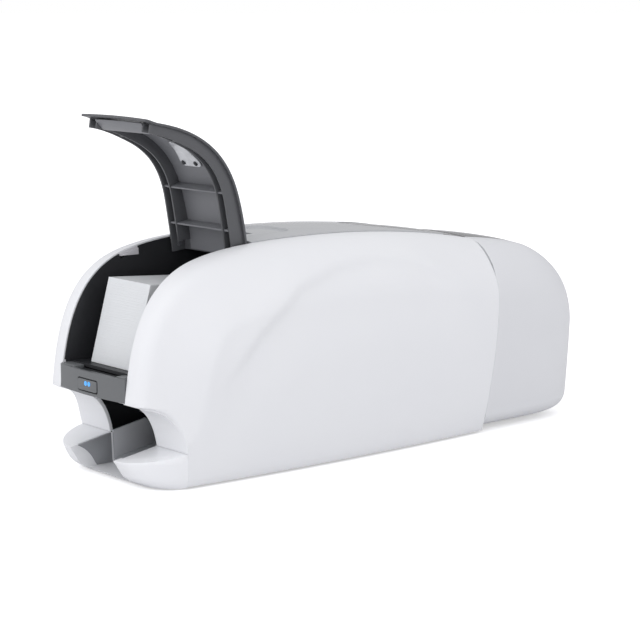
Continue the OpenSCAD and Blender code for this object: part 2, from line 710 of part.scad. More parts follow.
// Front of the tray from the top edge down, as [distance behind the front, height]
tray_nose = [[0, 30], [0, 21.5], [2.1, 18.2], [3.5, 15.9], [5.9, 12.2], [7.8, 9.4], [10.6, 6.9],
    [14.5, 4.2], [21, tray_z - 0.6]];
tray_round = [33, 42];
function tray_corner(p) = let (r = mix(tray_round[0], tray_round[1], clamp01((21.5 - p[1]) / 20)))
    [for (a = [0:15:90]) [tray_half - r * (1 - sin(a)),
        tray_front + norm([r * (1 - cos(a)), p[0]])]];
trough_floor = 4.6;
trough_half = 28.5;
// Front edge of the lining: an S that runs down and back
lining_front = [[nose_y + 6.1, 21.9], [nose_y + 12.2, 18.1], [nose_y + 17.4, 12.8],
    [nose_y + 20.9, 6.9], [nose_y + 22.5, trough_floor + 0.1]];
module card_tray() color(white) {
    difference() {
        intersection() {
            across(-tray_half - 1, 2 * tray_half + 2) polygon([[tray_front - 1, 21.3],
                [nose_y + 35.8, 27.8], [tray_back, tray_z], [tray_front - 1, tray_z]]);
            hull() for (p = tray_nose) translate([0, 0, p[1]]) linear_extrude(0.1)
                polygon(concat([[tray_half, tray_back + 3], [-tray_half, tray_back + 3]],
                    [for (c = tray_corner(p)) [-c[0], c[1]]], reversed(tray_corner(p))));
        }
        across(-exit_half, 2 * exit_half) polygon(concat(
            [for (p = lining_front) [p[0] - 0.2, p[1]]],
            [[nose_y + 43, trough_floor], [nose_y + 43, 34], [nose_y + 5.9, 34]]));
        across(-trough_half, 2 * trough_half)
            translate([tray_front - 2, trough_floor]) square([40, 30]);
    }
    // Tongues that slide into the base
    pair() translate([46, tray_back - 1, base_top + fit_gap]) cube([6, 24, 4]);
}

module tray_liner() color(grey) {
    pair() across(exit_half - lining_t, lining_t - 0.05) polygon(concat(lining_front,
        [[tray_back - 3.4, trough_floor + 0.1], [nose_y + 35.6, 27.4]]));
}

// ---- top cover and print head ----
cover_half = rim_half - fit_gap;
// Line between the top cover and the insert: a curve that runs forward in the middle
function parting(shift, back) = [for (k = [-8:8]) let (x = cover_half * k / 8)
    [x, shift + mix(cover_mid, back, pow(x / cover_half, 2))]];
arm_x = 38.2;
arm_t = frame_in - fit_gap - arm_x;
module cover_outline() intersection() {
    polygon(band(1.4, 2.95, 0, cover_t));
    translate([cover_front, 100]) square([cover_back - cover_front, 100]);
}
module top_cover() color("#c4c6ca") {
    difference() {
        across(-cover_half, 2 * cover_half) cover_outline();
        translate([0, 0, cover_hinge_z]) linear_extrude(release_top) polygon(concat(parting(-3 * fit_gap / 2, cover_back),
            [[cover_half + 5, cover_back + 9], [-cover_half - 5, cover_back + 9]]));
        translate([0, release_y, release_top])
            cube([release_w + 2 * fit_gap, release_l + 2 * fit_gap, 20], true);
    }
    // Hinge arms that reach back under the rear insert
    pair() difference() {
        across(arm_x, arm_t) polygon([[50, 168], [cover_back - 2, 164], [cover_back - 1, 159],
            [cover_hinge_y, cover_hinge_z + 5], [cover_hinge_y + 4, cover_hinge_z + 3],
            [cover_hinge_y + 4, cover_hinge_z - 4], [cover_hinge_y - 4, cover_hinge_z - 5],
            [78, 156]]);
        rod(cover_hinge_y, cover_hinge_z, pin_r, arm_x - 1, frame_in);
    }
}
module cover_hinge_pins() color(steel) pair()
    rod(cover_hinge_y, cover_hinge_z, pin_r, arm_x, frame_out - 0.3);

release_top = 173.1;
module cover_release() color("#c4c6ca") translate([0, release_y, 0]) {
    translate([0, 0, release_top - 1.5]) cube([release_w, release_l, 3], true);
    translate([0, 0, release_top - 12]) cylinder(r = 3, h = 10);
}

head_half = 29;
head_low = roller_z + roller_r + 1.8;
head_mid = head_low + 4;
head_top = head_mid + 10;
module print_head() color("#3b3a33") translate([-head_half, platen_y - 7, head_low])
    cube([2 * head_half, 14, head_mid - head_low]);
module heat_sink() color(steel) translate([-head_half, platen_y - 8, head_mid]) {
    cube([2 * head_half, 16, 3]);
    for (k = [0:9]) translate([k * (2 * head_half - 2) / 9, 0, 2.5]) cube([2, 16, head_top - head_mid - 2.5]);
}
module print_head_bracket() color(steel) {
    pair() translate([head_half - 4, platen_y - 6, head_top]) cube([4, 12, 170.4 - head_top]);
    translate([-head_half, platen_y - 6, 168]) cube([2 * head_half, 12, 2.4]);
}

// ---- ribbon ----
cassette_x = 36;
cassette_t = 2;
guide_r = 2;
guides = [[platen_y + 25, 84], [platen_y - 25, 84]];
spool_core = 4;
module ribbon_cassette() color("#4a4c52") {
    pair() difference() {
        union() {
            across(cassette_x, cassette_t) polygon([
                [takeup_y - 14, spool_z - 8], [takeup_y - 10, spool_z + 12],
                [supply_y + 12, spool_z + 12], [supply_y + 14, spool_z - 10],
                [guides[0][0] + 8, guides[0][1] - 3.4], [guides[1][0] - 8, guides[1][1] - 3.4]]);
            // Lugs that rest in the side frames
            for (y = [takeup_y, supply_y - 4]) rod(y, 116, 3, cassette_x, frame_in - 0.3);
        }
        for (y = [takeup_y, supply_y]) rod(y, spool_z, spool_core + run_fit, cassette_x - 1, frame_in);
    }
    for (g = guides) rod(g[0], g[1], guide_r, -cassette_x, cassette_x);
}
module spool(y, r) {
    rod(y, spool_z, r, -head_half, head_half);
    rod(y, spool_z, spool_core, -cassette_x - cassette_t, cassette_x + cassette_t);
}
module ribbon_supply() color("#3c3550") spool(supply_y, supply_r);
module ribbon_takeup() color("#3c3550") spool(takeup_y, takeup_r);

film_t = 0.25;
film_z = head_low - 0.6;
film_path = [[supply_y - supply_r + 2.9, spool_z - 10.1], [guides[0][0] + 1.8, guides[0][1] - 2.6],
    [platen_y + 10, film_z], [platen_y - 10, film_z],
    [guides[1][0] - 2.2, guides[1][1] - 2.6], [takeup_y + takeup_r + 0.1, spool_z - 2.5]];
module ribbon_film() color("#5a4b78") across(-head_half + 1, 2 * head_half - 2)
    polygon(concat(film_path, [for (p = reversed(film_path)) p + [0, film_t]]));

// ---- electronics ----
module main_board() color("#2e5b3a") {
    translate([frame_out + 4, -40, 14]) cube([1.6, 130, 84]);
    for (y = [-32, 82], z = [20, 92]) rod(y, z, 2, frame_out, frame_out + 4);
    for (y = [-10, 30]) translate([frame_out + 5.6, y, 40]) cube([2.4, 22, 22]);
}

// ---- rear module ----
bulkhead_t = 2.5;
bulkhead_top = 155.6;
bulkhead_edge = [for (k = [0:14]) let (z = mix(base_top, bulkhead_top, k / 14))
    [min(56, shoulder(seam_y, z, 158.5 - z, 1) - wall - 5.4), z]];
module rear_bulkhead() color(dark) difference() {
    translate([0, base_back + bulkhead_t, 0]) rotate([90, 0, 0]) linear_extrude(bulkhead_t) polygon(concat(
        bulkhead_edge, [for (p = reversed(bulkhead_edge)) [-p[0], p[1]]]));
    translate([-31, base_back - 1, 70]) cube([62, 5, 18]);
    pair() translate([50, base_back - 1, base_top - 1]) cube([10, 5, 30]);
}

// Top line of the rear housing
function rear_top(y) = 158.5 - 0.09 * (y - seam_y) - 0.001 * pow(y - seam_y, 2);
rear_round_y = rear_end - 58;
// How far the end of the housing has rounded off, for a share of its length
function close_in(q, power) = 1 - pow(1 - pow(q, power), 1 / power);
crown = 2.4;
housing_rows = 26;
// Half of one ring of the housing, from the middle of the top to the middle
// of the floor.  q runs from 0 to 1 as the housing rounds off at the rear.
function housing_half(y, q, inset) = let (
    top = rear_top(y) - 30 * close_in(q, 1.6) - inset,
    low = rear_lift + 12 * close_in(q, 3) + inset,
    narrow = 1 - 0.34 * close_in(q, 3),
    corner = 10 - inset)
    concat([[0, y, top + crown * narrow], [rim_half * narrow * 0.5, y, top + crown * 0.75 * narrow]],
        [for (k = [0:housing_rows - 4]) let (
            t = pow(k / (housing_rows - 4), 1.5),
            z = mix(top, low + corner, t),
            x = shoulder(y, z, (top - z) / (1 - 0.3 * close_in(q, 1.6)), 1) - inset)
            [x * narrow, y, z]],
        [for (a = [22.5:22.5:90]) let (x = (shoulder(y, low + corner, 200, 1) - inset) * narrow)
            [x - corner * (1 - cos(a)), y, low + corner * (1 - sin(a))]]);
function housing_ring(y, q, inset) = let (h = housing_half(y, q, inset), n = len(h))
    concat(h, [for (k = [n - 1:-1:1]) [-h[k][0], h[k][1], h[k][2]]]);
housing_steps = [for (k = [0:4]) [mix(seam_y + seam_gap, rear_round_y, k / 4), 0]];
housing_close = [for (a = [10:10:90]) [mix(rear_round_y, rear_end, sin(a)), sin(a)]];

// Cup made of closed rings, open at its first ring
module cup(outer, inner) {
    n = len(outer);
    m = len(outer[0]);
    back = n * m;
    side_faces = [for (i = [0:n - 2], j = [0:m - 1]) let (j2 = (j + 1) % m) each [
        [i * m + j, (i + 1) * m + j, (i + 1) * m + j2], [i * m + j, (i + 1) * m + j2, i * m + j2]]];
    cap = [for (j = [m - 1:-1:0]) (n - 1) * m + j];
    skin = concat(side_faces, [cap]);
    mouth = [for (j = [0:m - 1]) let (j2 = (j + 1) % m) each [
        [j, j2, back + j2], [j, back + j2, back + j]]];
    polyhedron(concat(flat(outer), flat(inner)), concat(skin,
        [for (f = skin) [for (v = reversed(f)) back + v]], mouth));
}

insert_half = 37.7;
insert_back = seam_y + 57;
socket_half = 27;
socket_z = [30, 54];
module rear_housing() color("#d7d9dd") {
    steps = concat(housing_steps, housing_close);
    difference() {
        cup([for (p = steps) housing_ring(p[0], p[1], 0)],
            [for (p = steps) housing_ring(p[0] - wall * pow(p[1], 3), p[1], wall)]);
        translate([-insert_half - fit_gap, seam_y - 10, 138])
            cube([2 * (insert_half + fit_gap), insert_back + fit_gap - seam_y + 10, 40]);
        translate([-socket_half - fit_gap, rear_end - 16, socket_z[0] - fit_gap])
            cube([2 * (socket_half + fit_gap), 30, socket_z[1] - socket_z[0] + 2 * fit_gap]);
    }
}

insert_t = 2.2;
// Height of the insert: the rim curve ahead of the seam, the housing behind it
insert_line = concat([for (k = [0:16]) rim(2 + k / 16) - [0, 0.6]],
    [for (k = [1:6]) let (y = mix(seam_y, insert_back, k / 6)) [y, rear_top(y) - 0.6]]);
insert_low = rear_top(insert_back) - 10;
module rear_top_insert() color("#6f7175") intersection() {
    across(-insert_half, 2 * insert_half)
        polygon(concat(insert_line, [for (p = reversed(insert_line)) p - [0, insert_t]]));
    translate([0, 0, insert_low]) linear_extrude(release_top) polygon(concat(
        parting(3 * fit_gap / 2, cover_back),
        [[insert_half + 5, insert_back], [-insert_half - 5, insert_back]]));
}

frame_half = 46.5;
module flipper_frame() color(dark) {
    translate([-frame_half - 2.5, base_back + 2.5, rear_lift + wall + fit_gap])
        cube([2 * frame_half + 5, 64, 2.6]);
    pair() difference() {
        across(frame_half, 2.5) polygon([[base_back + 2.5, rear_lift + wall + 1], [seam_y + 63, rear_lift + wall + 1],
            [seam_y + 75, 30], [seam_y + 75, 90], [seam_y + 63, 102], [base_back + 2.5, 102]]);
        rod(drum_y, drum_z, stub_r + run_fit, frame_half - 1, frame_half + 4);
        rod(pinion_y, pinion_z, pin_r + run_fit, frame_half - 1, frame_half + 4);
    }
}

drum_reach = gear_m * (drum_teeth + pinion_teeth) / 2;
pinion_y = drum_y - drum_reach * cos(45);
pinion_z = drum_z - drum_reach * sin(45);
drum_half = frame_half - 13.5;
cheek_t = 3;
flip_r = 5;
flip_z = flip_r + nip_gap / 2;
module flipper_drum() color("#4a4c52") {
    pair() difference() {
        union() {
            rod(drum_y, drum_z, 14, drum_half, drum_half + cheek_t);
            translate([drum_half, drum_y - drum_l / 2, drum_z - 3]) cube([cheek_t, drum_l, 6]);
            rod(drum_y, drum_z, stub_r, drum_half, frame_half + 2.4);
        }
        for (z = [-flip_z, flip_z])
            rod(drum_y, drum_z + z, pin_r + run_fit, drum_half - 1, drum_half + cheek_t + 0.1);
    }
    // Upper and lower card guides with windows for the rollers
    for (z = [-2.5, 0.9]) translate([-drum_half, drum_y - drum_l / 2, drum_z + z]) difference() {
        cube([2 * drum_half, drum_l, 1.6]);
        translate([6, drum_l / 2 - 6.5, -1]) cube([2 * drum_half - 12, 13, 4]);
    }
    mirror([1, 0, 0]) gear(drum_y, drum_z, drum_teeth, 0, drum_half + 8, 4);
}
module flip_roller(z) {
    rod(drum_y, drum_z + z, flip_r, 7 - drum_half, drum_half - 7);
    rod(drum_y, drum_z + z, pin_r, -drum_half - cheek_t, drum_half + cheek_t);
}
module flipper_roller() color(black_rubber) flip_roller(-flip_z);
module flipper_idler() color(steel) flip_roller(flip_z);
module flipper_motor() color("#3a3b3f") mirror([1, 0, 0]) difference() {
    rod(pinion_y, pinion_z, 10, frame_half + 2.5, frame_half + 14);
    rod(pinion_y, pinion_z, pin_r + run_fit, frame_half + 2, frame_half + 8.4);
}
module flipper_pinion() color("#d8d6cc") mirror([1, 0, 0]) {
    gear(pinion_y, pinion_z, pinion_teeth,
        meshed(0, drum_teeth, 225, pinion_teeth), drum_half + 8, 4);
    rod(pinion_y, pinion_z, pin_r, drum_half + 7, frame_half + 8);
}

// Power inlet, USB and network sockets on a plate in the rear wall
socket_y = rear_end - 3.4;
rocker_x = 19;
rocker_w = 9;
rocker_h = 14;
socket_mid = (socket_z[0] + socket_z[1]) / 2;
inlet_x = -19;
inlet_r = 4;
socket_depth = 9;
rocker_y = socket_y - 1;
rocker_pin_r = 0.8;
module rear_sockets() color(dark) difference() {
    union() {
        translate([-socket_half, socket_y - 2, socket_z[0]])
            cube([2 * socket_half, 3, socket_z[1] - socket_z[0]]);
        translate([inlet_x - 6, socket_y - 11, socket_mid - 8]) cube([51, 10, 16]);
    }
    translate([inlet_x, socket_y + 1 - socket_depth, socket_mid]) rotate([-90, 0, 0])
        cylinder(r = inlet_r, h = socket_depth + 2);
    translate([-10, socket_y + 1 - socket_depth, socket_mid - 6]) cube([8.5, 12, 12]);
    translate([2, socket_y + 1 - socket_depth, socket_mid - 6]) cube([9, 12, 12]);
    translate([rocker_x - rocker_w / 2, socket_y - 6, socket_mid - rocker_h / 2])
        cube([rocker_w, 12, rocker_h]);
    rod(rocker_y, socket_mid, rocker_pin_r + run_fit, rocker_x - 6, rocker_x + 6);
}

module power_switch() color("#1c1c1f") {
    across(rocker_x - rocker_w / 2 + 0.3, rocker_w - 0.6) polygon([
        [rocker_y - 1.5, socket_mid - 5], [rocker_y + 2, socket_mid - 5.4],
        [rocker_y + 1.9, socket_mid], [rocker_y + 3.4, socket_mid + 5.2],
        [rocker_y - 1.5, socket_mid + 5]]);
    rod(rocker_y, socket_mid, rocker_pin_r, rocker_x - rocker_w / 2 - 1.2,
        rocker_x + rocker_w / 2 + 1.2);
}

base_plate();
rubber_feet();
left_panel();
right_panel();
left_frame();
right_frame();
frame_tie_rods();
panel_screws();
front_fascia();
front_bezel();
status_button();
status_light();
button_board();
hopper_lid();
lid_hinge_pins();
lid_window();
lid_window_screws();
hopper_floor();
hopper_back_wall();
lid_catches();
card_stack();
card_gate();
pick_roller();
front_roller();
front_idler();
cleaning_roller();
platen_roller();
rear_roller();
rear_idler();
exit_roller();
exit_idler();
exit_chute();
idler_gear();
drive_belt();
motor_pulley();
drive_motor();
top_cover();
cover_hinge_pins();
cover_release();
print_head();
print_head_bracket();
heat_sink();
ribbon_cassette();
ribbon_supply();
ribbon_takeup();
ribbon_film();
main_board();
rear_bulkhead();
flipper_frame();
flipper_drum();
flipper_roller();
flipper_idler();
flipper_motor();
flipper_pinion();
rear_housing();
rear_top_insert();
rear_sockets();
power_switch();
card_tray();
tray_liner();
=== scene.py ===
"""Desktop ID card printer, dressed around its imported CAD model."""

import json
import math

import bmesh
import bpy
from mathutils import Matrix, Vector


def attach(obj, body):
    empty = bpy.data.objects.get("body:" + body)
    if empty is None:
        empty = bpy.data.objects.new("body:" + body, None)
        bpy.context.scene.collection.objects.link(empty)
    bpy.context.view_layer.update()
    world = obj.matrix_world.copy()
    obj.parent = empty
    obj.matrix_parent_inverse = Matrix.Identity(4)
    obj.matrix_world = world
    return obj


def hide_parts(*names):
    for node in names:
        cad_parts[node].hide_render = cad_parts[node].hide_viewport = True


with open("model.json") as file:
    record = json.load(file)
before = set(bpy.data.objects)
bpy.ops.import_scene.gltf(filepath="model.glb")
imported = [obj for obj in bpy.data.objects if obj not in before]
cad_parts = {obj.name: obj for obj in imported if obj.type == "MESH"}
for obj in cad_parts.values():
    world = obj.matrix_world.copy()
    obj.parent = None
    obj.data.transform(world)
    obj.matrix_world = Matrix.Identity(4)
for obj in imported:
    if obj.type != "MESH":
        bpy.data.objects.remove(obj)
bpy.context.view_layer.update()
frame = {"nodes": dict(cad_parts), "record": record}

# Shapes are written in millimetres; Blender's scene is in metres
MM = 0.001


# ---- camera, floor and light ----
# Camera: its place in metres, its turn from the front and its height above level in degrees
CAMERA_PLACE = (1.21176, -1.01227, 0.35722)
CAMERA_TURN, CAMERA_RISE = 50.3, 9.34
FOCAL_PIXELS, PICTURE_PIXELS = 2007, 640
SENSOR_WIDTH = 36
# Light of the room: where it is strongest, its middle strength and the change to either side
ROOM_FRONT = (0.5, -0.81, 0.3)
ROOM_LEVEL, ROOM_SLOPE = 0.93, 0.42
FLOOR_SIZE, FLOOR_GLOW = 60, 0.45


def make_camera():
    azimuth, elevation = math.radians(CAMERA_TURN), math.radians(CAMERA_RISE)
    back = Vector((
        math.sin(azimuth) * math.cos(elevation),
        -math.cos(azimuth) * math.cos(elevation),
        math.sin(elevation),
    ))
    bpy.ops.object.camera_add(location=CAMERA_PLACE)
    camera = bpy.context.object
    camera.rotation_mode = "QUATERNION"
    camera.rotation_quaternion = (-back).to_track_quat("-Z", "Y")
    camera.data.sensor_width = SENSOR_WIDTH
    camera.data.lens = FOCAL_PIXELS / PICTURE_PIXELS * SENSOR_WIDTH
    camera.data.clip_start, camera.data.clip_end = 0.05, 30
    bpy.context.scene.camera = camera


def add(tree, kind, inputs=None, **settings):
    """Adds a shader node with its settings, its values and its links."""
    node = tree.nodes.new(kind)
    for key, value in settings.items():
        setattr(node, key, value)
    for key, value in (inputs or {}).items():
        if isinstance(value, bpy.types.NodeSocket):
            tree.links.new(value, node.inputs[key])
        else:
            node.inputs[key].default_value = value
    return node


def linear(code):
    """sRGB hex to a linear colour."""
    parts = [int(code[i : i + 2], 16) / 255 for i in (1, 3, 5)]
    return tuple(c / 12.92 if c <= 0.04045 else ((c + 0.055) / 1.055) ** 2.4 for c in parts) + (1,)


def area_light(name, place, target, size, watts):
    """Softbox at a place, turned to its target; both are in metres."""
    bpy.ops.object.light_add(type="AREA", location=place)
    lamp = bpy.context.object
    lamp.name = name
    lamp.data.shape = "RECTANGLE"
    lamp.data.size, lamp.data.size_y = size
    lamp.data.energy = watts
    lamp.rotation_euler = (Vector(target) - Vector(place)).to_track_quat("-Z", "Y").to_euler()


def make_room():
    """Room that lights the printer most from the front, plain white where it is seen."""
    bpy.context.scene.view_settings.view_transform = "Standard"
    world = bpy.data.worlds.new("studio_white")
    bpy.context.scene.world = world
    world.use_nodes = True
    tree = world.node_tree
    tree.nodes.clear()
    path = add(tree, "ShaderNodeLightPath")
    seen = add(tree, "ShaderNodeMath",
               {0: path.outputs["Is Camera Ray"], 1: path.outputs["Is Transmission Ray"]},
               operation="MAXIMUM")
    where = add(tree, "ShaderNodeTexCoord").outputs["Generated"]
    facing = add(tree, "ShaderNodeVectorMath", {0: where, 1: ROOM_FRONT}, operation="DOT_PRODUCT")
    level = add(tree, "ShaderNodeMapRange",
                {"Value": facing.outputs["Value"], 1: -1.0, 2: 1.0,
                 3: ROOM_LEVEL - ROOM_SLOPE, 4: ROOM_LEVEL + ROOM_SLOPE})
    room = add(tree, "ShaderNodeBackground",
               {"Color": linear("#f9f9fb"), "Strength": level.outputs[0]})
    white = add(tree, "ShaderNodeBackground", {"Color": (1, 1, 1, 1), "Strength": 1.0})
    both = add(tree, "ShaderNodeMixShader",
               {0: seen.outputs[0], 1: room.outputs[0], 2: white.outputs[0]})
    add(tree, "ShaderNodeOutputWorld", {"Surface": both.outputs[0]})
    area_light("softbox_above", (0.1, -1.0, 1.3), (0, -0.15, 0.1), (1.0, 1.0), 0.8)
    area_light("softbox_front", (-0.7, -1.6, 0.6), (0, -0.15, 0.15), (0.9, 0.9), 1.0)


def make_floor():
    """Matt backdrop paper, with a glow that only the camera sees."""
    bpy.ops.mesh.primitive_plane_add(size=FLOOR_SIZE)
    floor = bpy.context.object
    floor.name = "floor"
    paper = bpy.data.materials.new("backdrop_paper")
    paper.use_nodes = True
    tree = paper.node_tree
    tree.nodes.clear()
    path = add(tree, "ShaderNodeLightPath")
    matt = add(tree, "ShaderNodeBsdfDiffuse", {"Color": linear("#eeeeef")})
    glow = add(tree, "ShaderNodeEmission", {"Color": (1, 1, 1, 1), "Strength": FLOOR_GLOW})
    both = add(tree, "ShaderNodeAddShader", {0: matt.outputs[0], 1: glow.outputs[0]})
    seen = add(tree, "ShaderNodeMixShader",
               {0: path.outputs["Is Camera Ray"], 1: matt.outputs[0], 2: both.outputs[0]})
    add(tree, "ShaderNodeOutputMaterial", {"Surface": seen.outputs[0]})
    floor.data.materials.append(paper)


make_camera()
make_room()
make_floor()


# ---- modelling helpers; lengths are in millimetres ----
def mix(a, b, t):
    """Value between two others: a at 0 and b at 1."""
    return a + (b - a) * t


def clamp01(t):
    return max(0.0, min(1.0, t))


def smooth01(t):
    """Eases from 0 to 1."""
    t = clamp01(t)
    return t * t * (3 - 2 * t)


def ramp(value, start, end):
    """Eases from 0 where a value is at the start to 1 where it is at the end."""
    return smooth01((value - start) / (end - start))


def bez(p, t):
    """Place on a cubic curve with its two handles."""
    return tuple((1 - t) ** 3 * a + 3 * (1 - t) ** 2 * t * b + 3 * (1 - t) * t * t * c + t**3 * d
                 for a, b, c, d in zip(*p))


def pick(*pieces):
    """Selects these pieces alone, with the first one active."""
    bpy.ops.object.select_all(action="DESELECT")
    for piece in pieces:
        piece.select_set(True)
    bpy.context.view_layer.objects.active = pieces[0]


def apply_modifier(piece, kind, **settings):
    """Adds a modifier to a piece, sets it and applies it."""
    pick(piece)
    modifier = piece.modifiers.new(kind.lower(), kind)
    for key, value in settings.items():
        setattr(modifier, key, value)
    bpy.ops.object.modifier_apply(modifier=modifier.name)


def edit(piece, *steps):
    """Runs edit mode operators on all of a piece; each step is (operator, settings)."""
    pick(piece)
    bpy.ops.object.mode_set(mode="EDIT")
    bpy.ops.mesh.select_all(action="SELECT")
    for operator, settings in steps:
        operator(**settings)
    bpy.ops.object.mode_set(mode="OBJECT")


def sheet(name, columns, rows, place):
    """Grid laid over a surface: place gets 0 to 1 along both of its sides."""
    bpy.ops.object.select_all(action="DESELECT")
    bpy.ops.mesh.primitive_grid_add(x_subdivisions=columns, y_subdivisions=rows, size=1)
    piece = bpy.context.object
    piece.name = name
    for v in piece.data.vertices:
        v.co = Vector(place(v.co.x + 0.5, v.co.y + 0.5)) * MM
    return piece


def prism(name, corners, push):
    """Flat outline given by its corners, extruded by a push along one axis."""
    bpy.ops.object.select_all(action="DESELECT")
    bpy.ops.mesh.primitive_circle_add(vertices=len(corners), radius=1, fill_type="NGON")
    piece = bpy.context.object
    piece.name = name
    for v, corner in zip(piece.data.vertices, corners):
        v.co = Vector(corner) * MM
    step = {"value": tuple(c * MM for c in push)}
    edit(piece,
         (bpy.ops.mesh.extrude_region_move, {"TRANSFORM_OT_translate": step}),
         (bpy.ops.mesh.select_all, {"action": "SELECT"}),
         (bpy.ops.mesh.normals_make_consistent, {"inside": False}))
    return piece


def across(name, outline, x0, x1):
    """Side view outline of (y, z) points, extruded from x0 to x1."""
    return prism(name, [(x0, y, z) for y, z in outline], (x1 - x0, 0, 0))


def box(name, low_corner, high_corner):
    """Cube stretched between two corners."""
    bpy.ops.object.select_all(action="DESELECT")
    bpy.ops.mesh.primitive_cube_add(size=1)
    piece = bpy.context.object
    piece.name = name
    for v in piece.data.vertices:
        v.co = Vector(tuple((a if c < 0 else b) * MM
                            for a, b, c in zip(low_corner, high_corner, v.co)))
    return piece


def join(name, *parts):
    """One piece made of several."""
    pick(*parts)
    bpy.ops.object.join()
    parts[0].name = name
    return parts[0]


def cut(piece, *tools):
    """Takes the tools' space out of a piece."""
    for tool in tools:
        apply_modifier(piece, "BOOLEAN", operation="DIFFERENCE", solver="EXACT", object=tool)
        bpy.data.objects.remove(tool)


def weld(piece, distance=0.01):
    """Merges points that lie closer than a distance."""
    edit(piece, (bpy.ops.mesh.remove_doubles, {"threshold": distance * MM}),
         (bpy.ops.mesh.normals_make_consistent, {"inside": False}))


def round_edges(piece, width, segments=2, angle=50):
    """Rounds the edges that turn by more than an angle in degrees."""
    apply_modifier(piece, "BEVEL", width=width * MM, segments=segments, limit_method="ANGLE",
                   angle_limit=math.radians(angle), use_clamp_overlap=True)


def mirrored(piece, name):
    """Copy of a piece on the other side of the printer."""
    twin = piece.copy()
    twin.data = piece.data.copy()
    twin.name = name
    bpy.context.scene.collection.objects.link(twin)
    for v in twin.data.vertices:
        v.co.x = -v.co.x
    edit(twin, (bpy.ops.mesh.flip_normals, {}))
    return twin


def dress(piece, material, body, stands_for=(), smooth=35):
    """Gives a piece its material, its shading and the body it moves with."""
    piece.data.materials.clear()
    piece.data.materials.append(material)
    pick(piece)
    bpy.ops.object.shade_smooth_by_angle(angle=math.radians(smooth))
    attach(piece, body)
    if stands_for:
        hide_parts(*stands_for)


# ---- outer surface of the casing ----
# Front of the casing, its seam with the rear housing, and the rear end
NOSE, SEAM, REAR_END = -223.0, 115.0, 226.0
# Half-width of the opening between the two rims
RIM_HALF = 42.5
WALL = 2.6
# Height of the casing's lower edge
LIFT = 2.0
# Side view of the rim from the bezel to the seam: curves, each with its two handles
RIM = [
    [(NOSE, 62), (NOSE + 5, 110), (NOSE + 15.5, 152), (NOSE + 63, 164.5)],
    [(NOSE + 63, 164.5), (NOSE + 91, 172), (NOSE + 128, 173.6), (-45, 173.6)],
    [(-45, 173.6), (10, 173.6), (70, 167.5), (SEAM, 158.5)],
]
RIM_END = len(RIM)
RIM_HAIR = 0.01
# Curve of the hollow above the tray, and the foot of the tray's seam below it
CUTOUT = [(NOSE + 7, 64.5), (NOSE + 20, 61), (NOSE + 32, 52), (NOSE + 36, 28)]
TRAY_SEAM_LOW = (NOSE + 40.5, LIFT)
# Places on the rim whose lines down the side end where the hollow and the tray's seam end
CUTOUT_END, TRAY_SEAM_END = 0.6, 0.8


def rim(s):
    """Side view of the rim: 0 at the bezel, RIM_END at the seam."""
    part = min(RIM_END - 1, int(s))
    return bez(RIM[part], s - part)


def rim_dir(s):
    """Direction in which the rim runs at s."""
    a, b = rim(max(0, s - RIM_HAIR)), rim(min(RIM_END, s + RIM_HAIR))
    d = math.dist(a, b)
    return (b[0] - a[0]) / d, (b[1] - a[1]) / d


def rim_in(s, depth):
    """Place at a depth below the rim, square to it."""
    (y, z), (dy, dz) = rim(s), rim_dir(s)
    return y + depth * dz, z - depth * dy


RIM_STEP, RIM_STEPS = 0.0075, 400
RIM_MARKS = [rim(RIM_STEP * k) for k in range(RIM_STEPS + 1)]


def rim_distance(y, z):
    """Distance to the straight lines between the rim's marks."""
    near = min(range(RIM_STEPS + 1),
               key=lambda k: (RIM_MARKS[k][0] - y) ** 2 + (RIM_MARKS[k][1] - z) ** 2)
    best = math.inf
    for k in (near - 1, near):
        if 0 <= k < RIM_STEPS:
            (ay, az), (by, bz) = RIM_MARKS[k], RIM_MARKS[k + 1]
            t = clamp01(((y - ay) * (by - ay) + (z - az) * (bz - az))
                        / ((by - ay) ** 2 + (bz - az) ** 2))
            best = min(best, math.hypot(y - mix(ay, by, t), z - mix(az, bz, t)))
    return best


# Flat side at its top and at the floor: (half-width where it is widest, how much it draws in,
# over what length)
SIDE_TOP, SIDE_LOW = (86, 7, 160), (66.6, 4.3, 139)
# Place along the casing where it is widest
WIDEST = -45
# Height below which the side leans in, and how slowly the lean sets in
LEAN_HEIGHT, LEAN_POWER = 105, 1.6
# Behind the seam the foot of the side draws in this much more slowly
REAR_EASE = 0.3


def side(y, z):
    """Half-width of the flat side."""
    lean = clamp01((LEAN_HEIGHT - z) / LEAN_HEIGHT) ** LEAN_POWER
    low_y = y if y < SEAM else mix(SEAM, y, REAR_EASE)
    top, low = (half - draw * ((place - WIDEST) / length) ** 2
                for (half, draw, length), place in ((SIDE_TOP, y), (SIDE_LOW, low_y)))
    return mix(top, low, lean)


# Tight edge beside the rim, at the nose, in the middle and at the seam: its reach and height
EDGE_REACH, EDGE_HEIGHT = (17, 16, 12), (11, 15, 20)
# Roundness of the edge, in the middle and at the seam
EDGE_POWER = (3.2, 2.5)
# Height of the shoulder, at the nose and behind it
SHOULDER_HEIGHT = (50, 46)


def shoulder(y, z, depth, k):
    """Half-width at a depth below the rim: a tight edge, then a long shoulder. k is 0 at the
    nose and 1 behind it."""
    rearward = smooth01(y / SEAM)
    reach, height = (mix(nose, mix(middle, seam, rearward), k)
                     for nose, middle, seam in (EDGE_REACH, EDGE_HEIGHT))
    power = mix(*EDGE_POWER, rearward)
    turn = clamp01(depth / height)
    t = clamp01(depth / mix(*SHOULDER_HEIGHT, k))
    rise = mix(min(t * 1.06, 1), math.sin(math.pi / 2 * t), k)
    return (RIM_HALF + reach * (1 - (1 - turn) ** power) ** (1 / power)
            + (side(y, z) - RIM_HALF - reach) * rise)


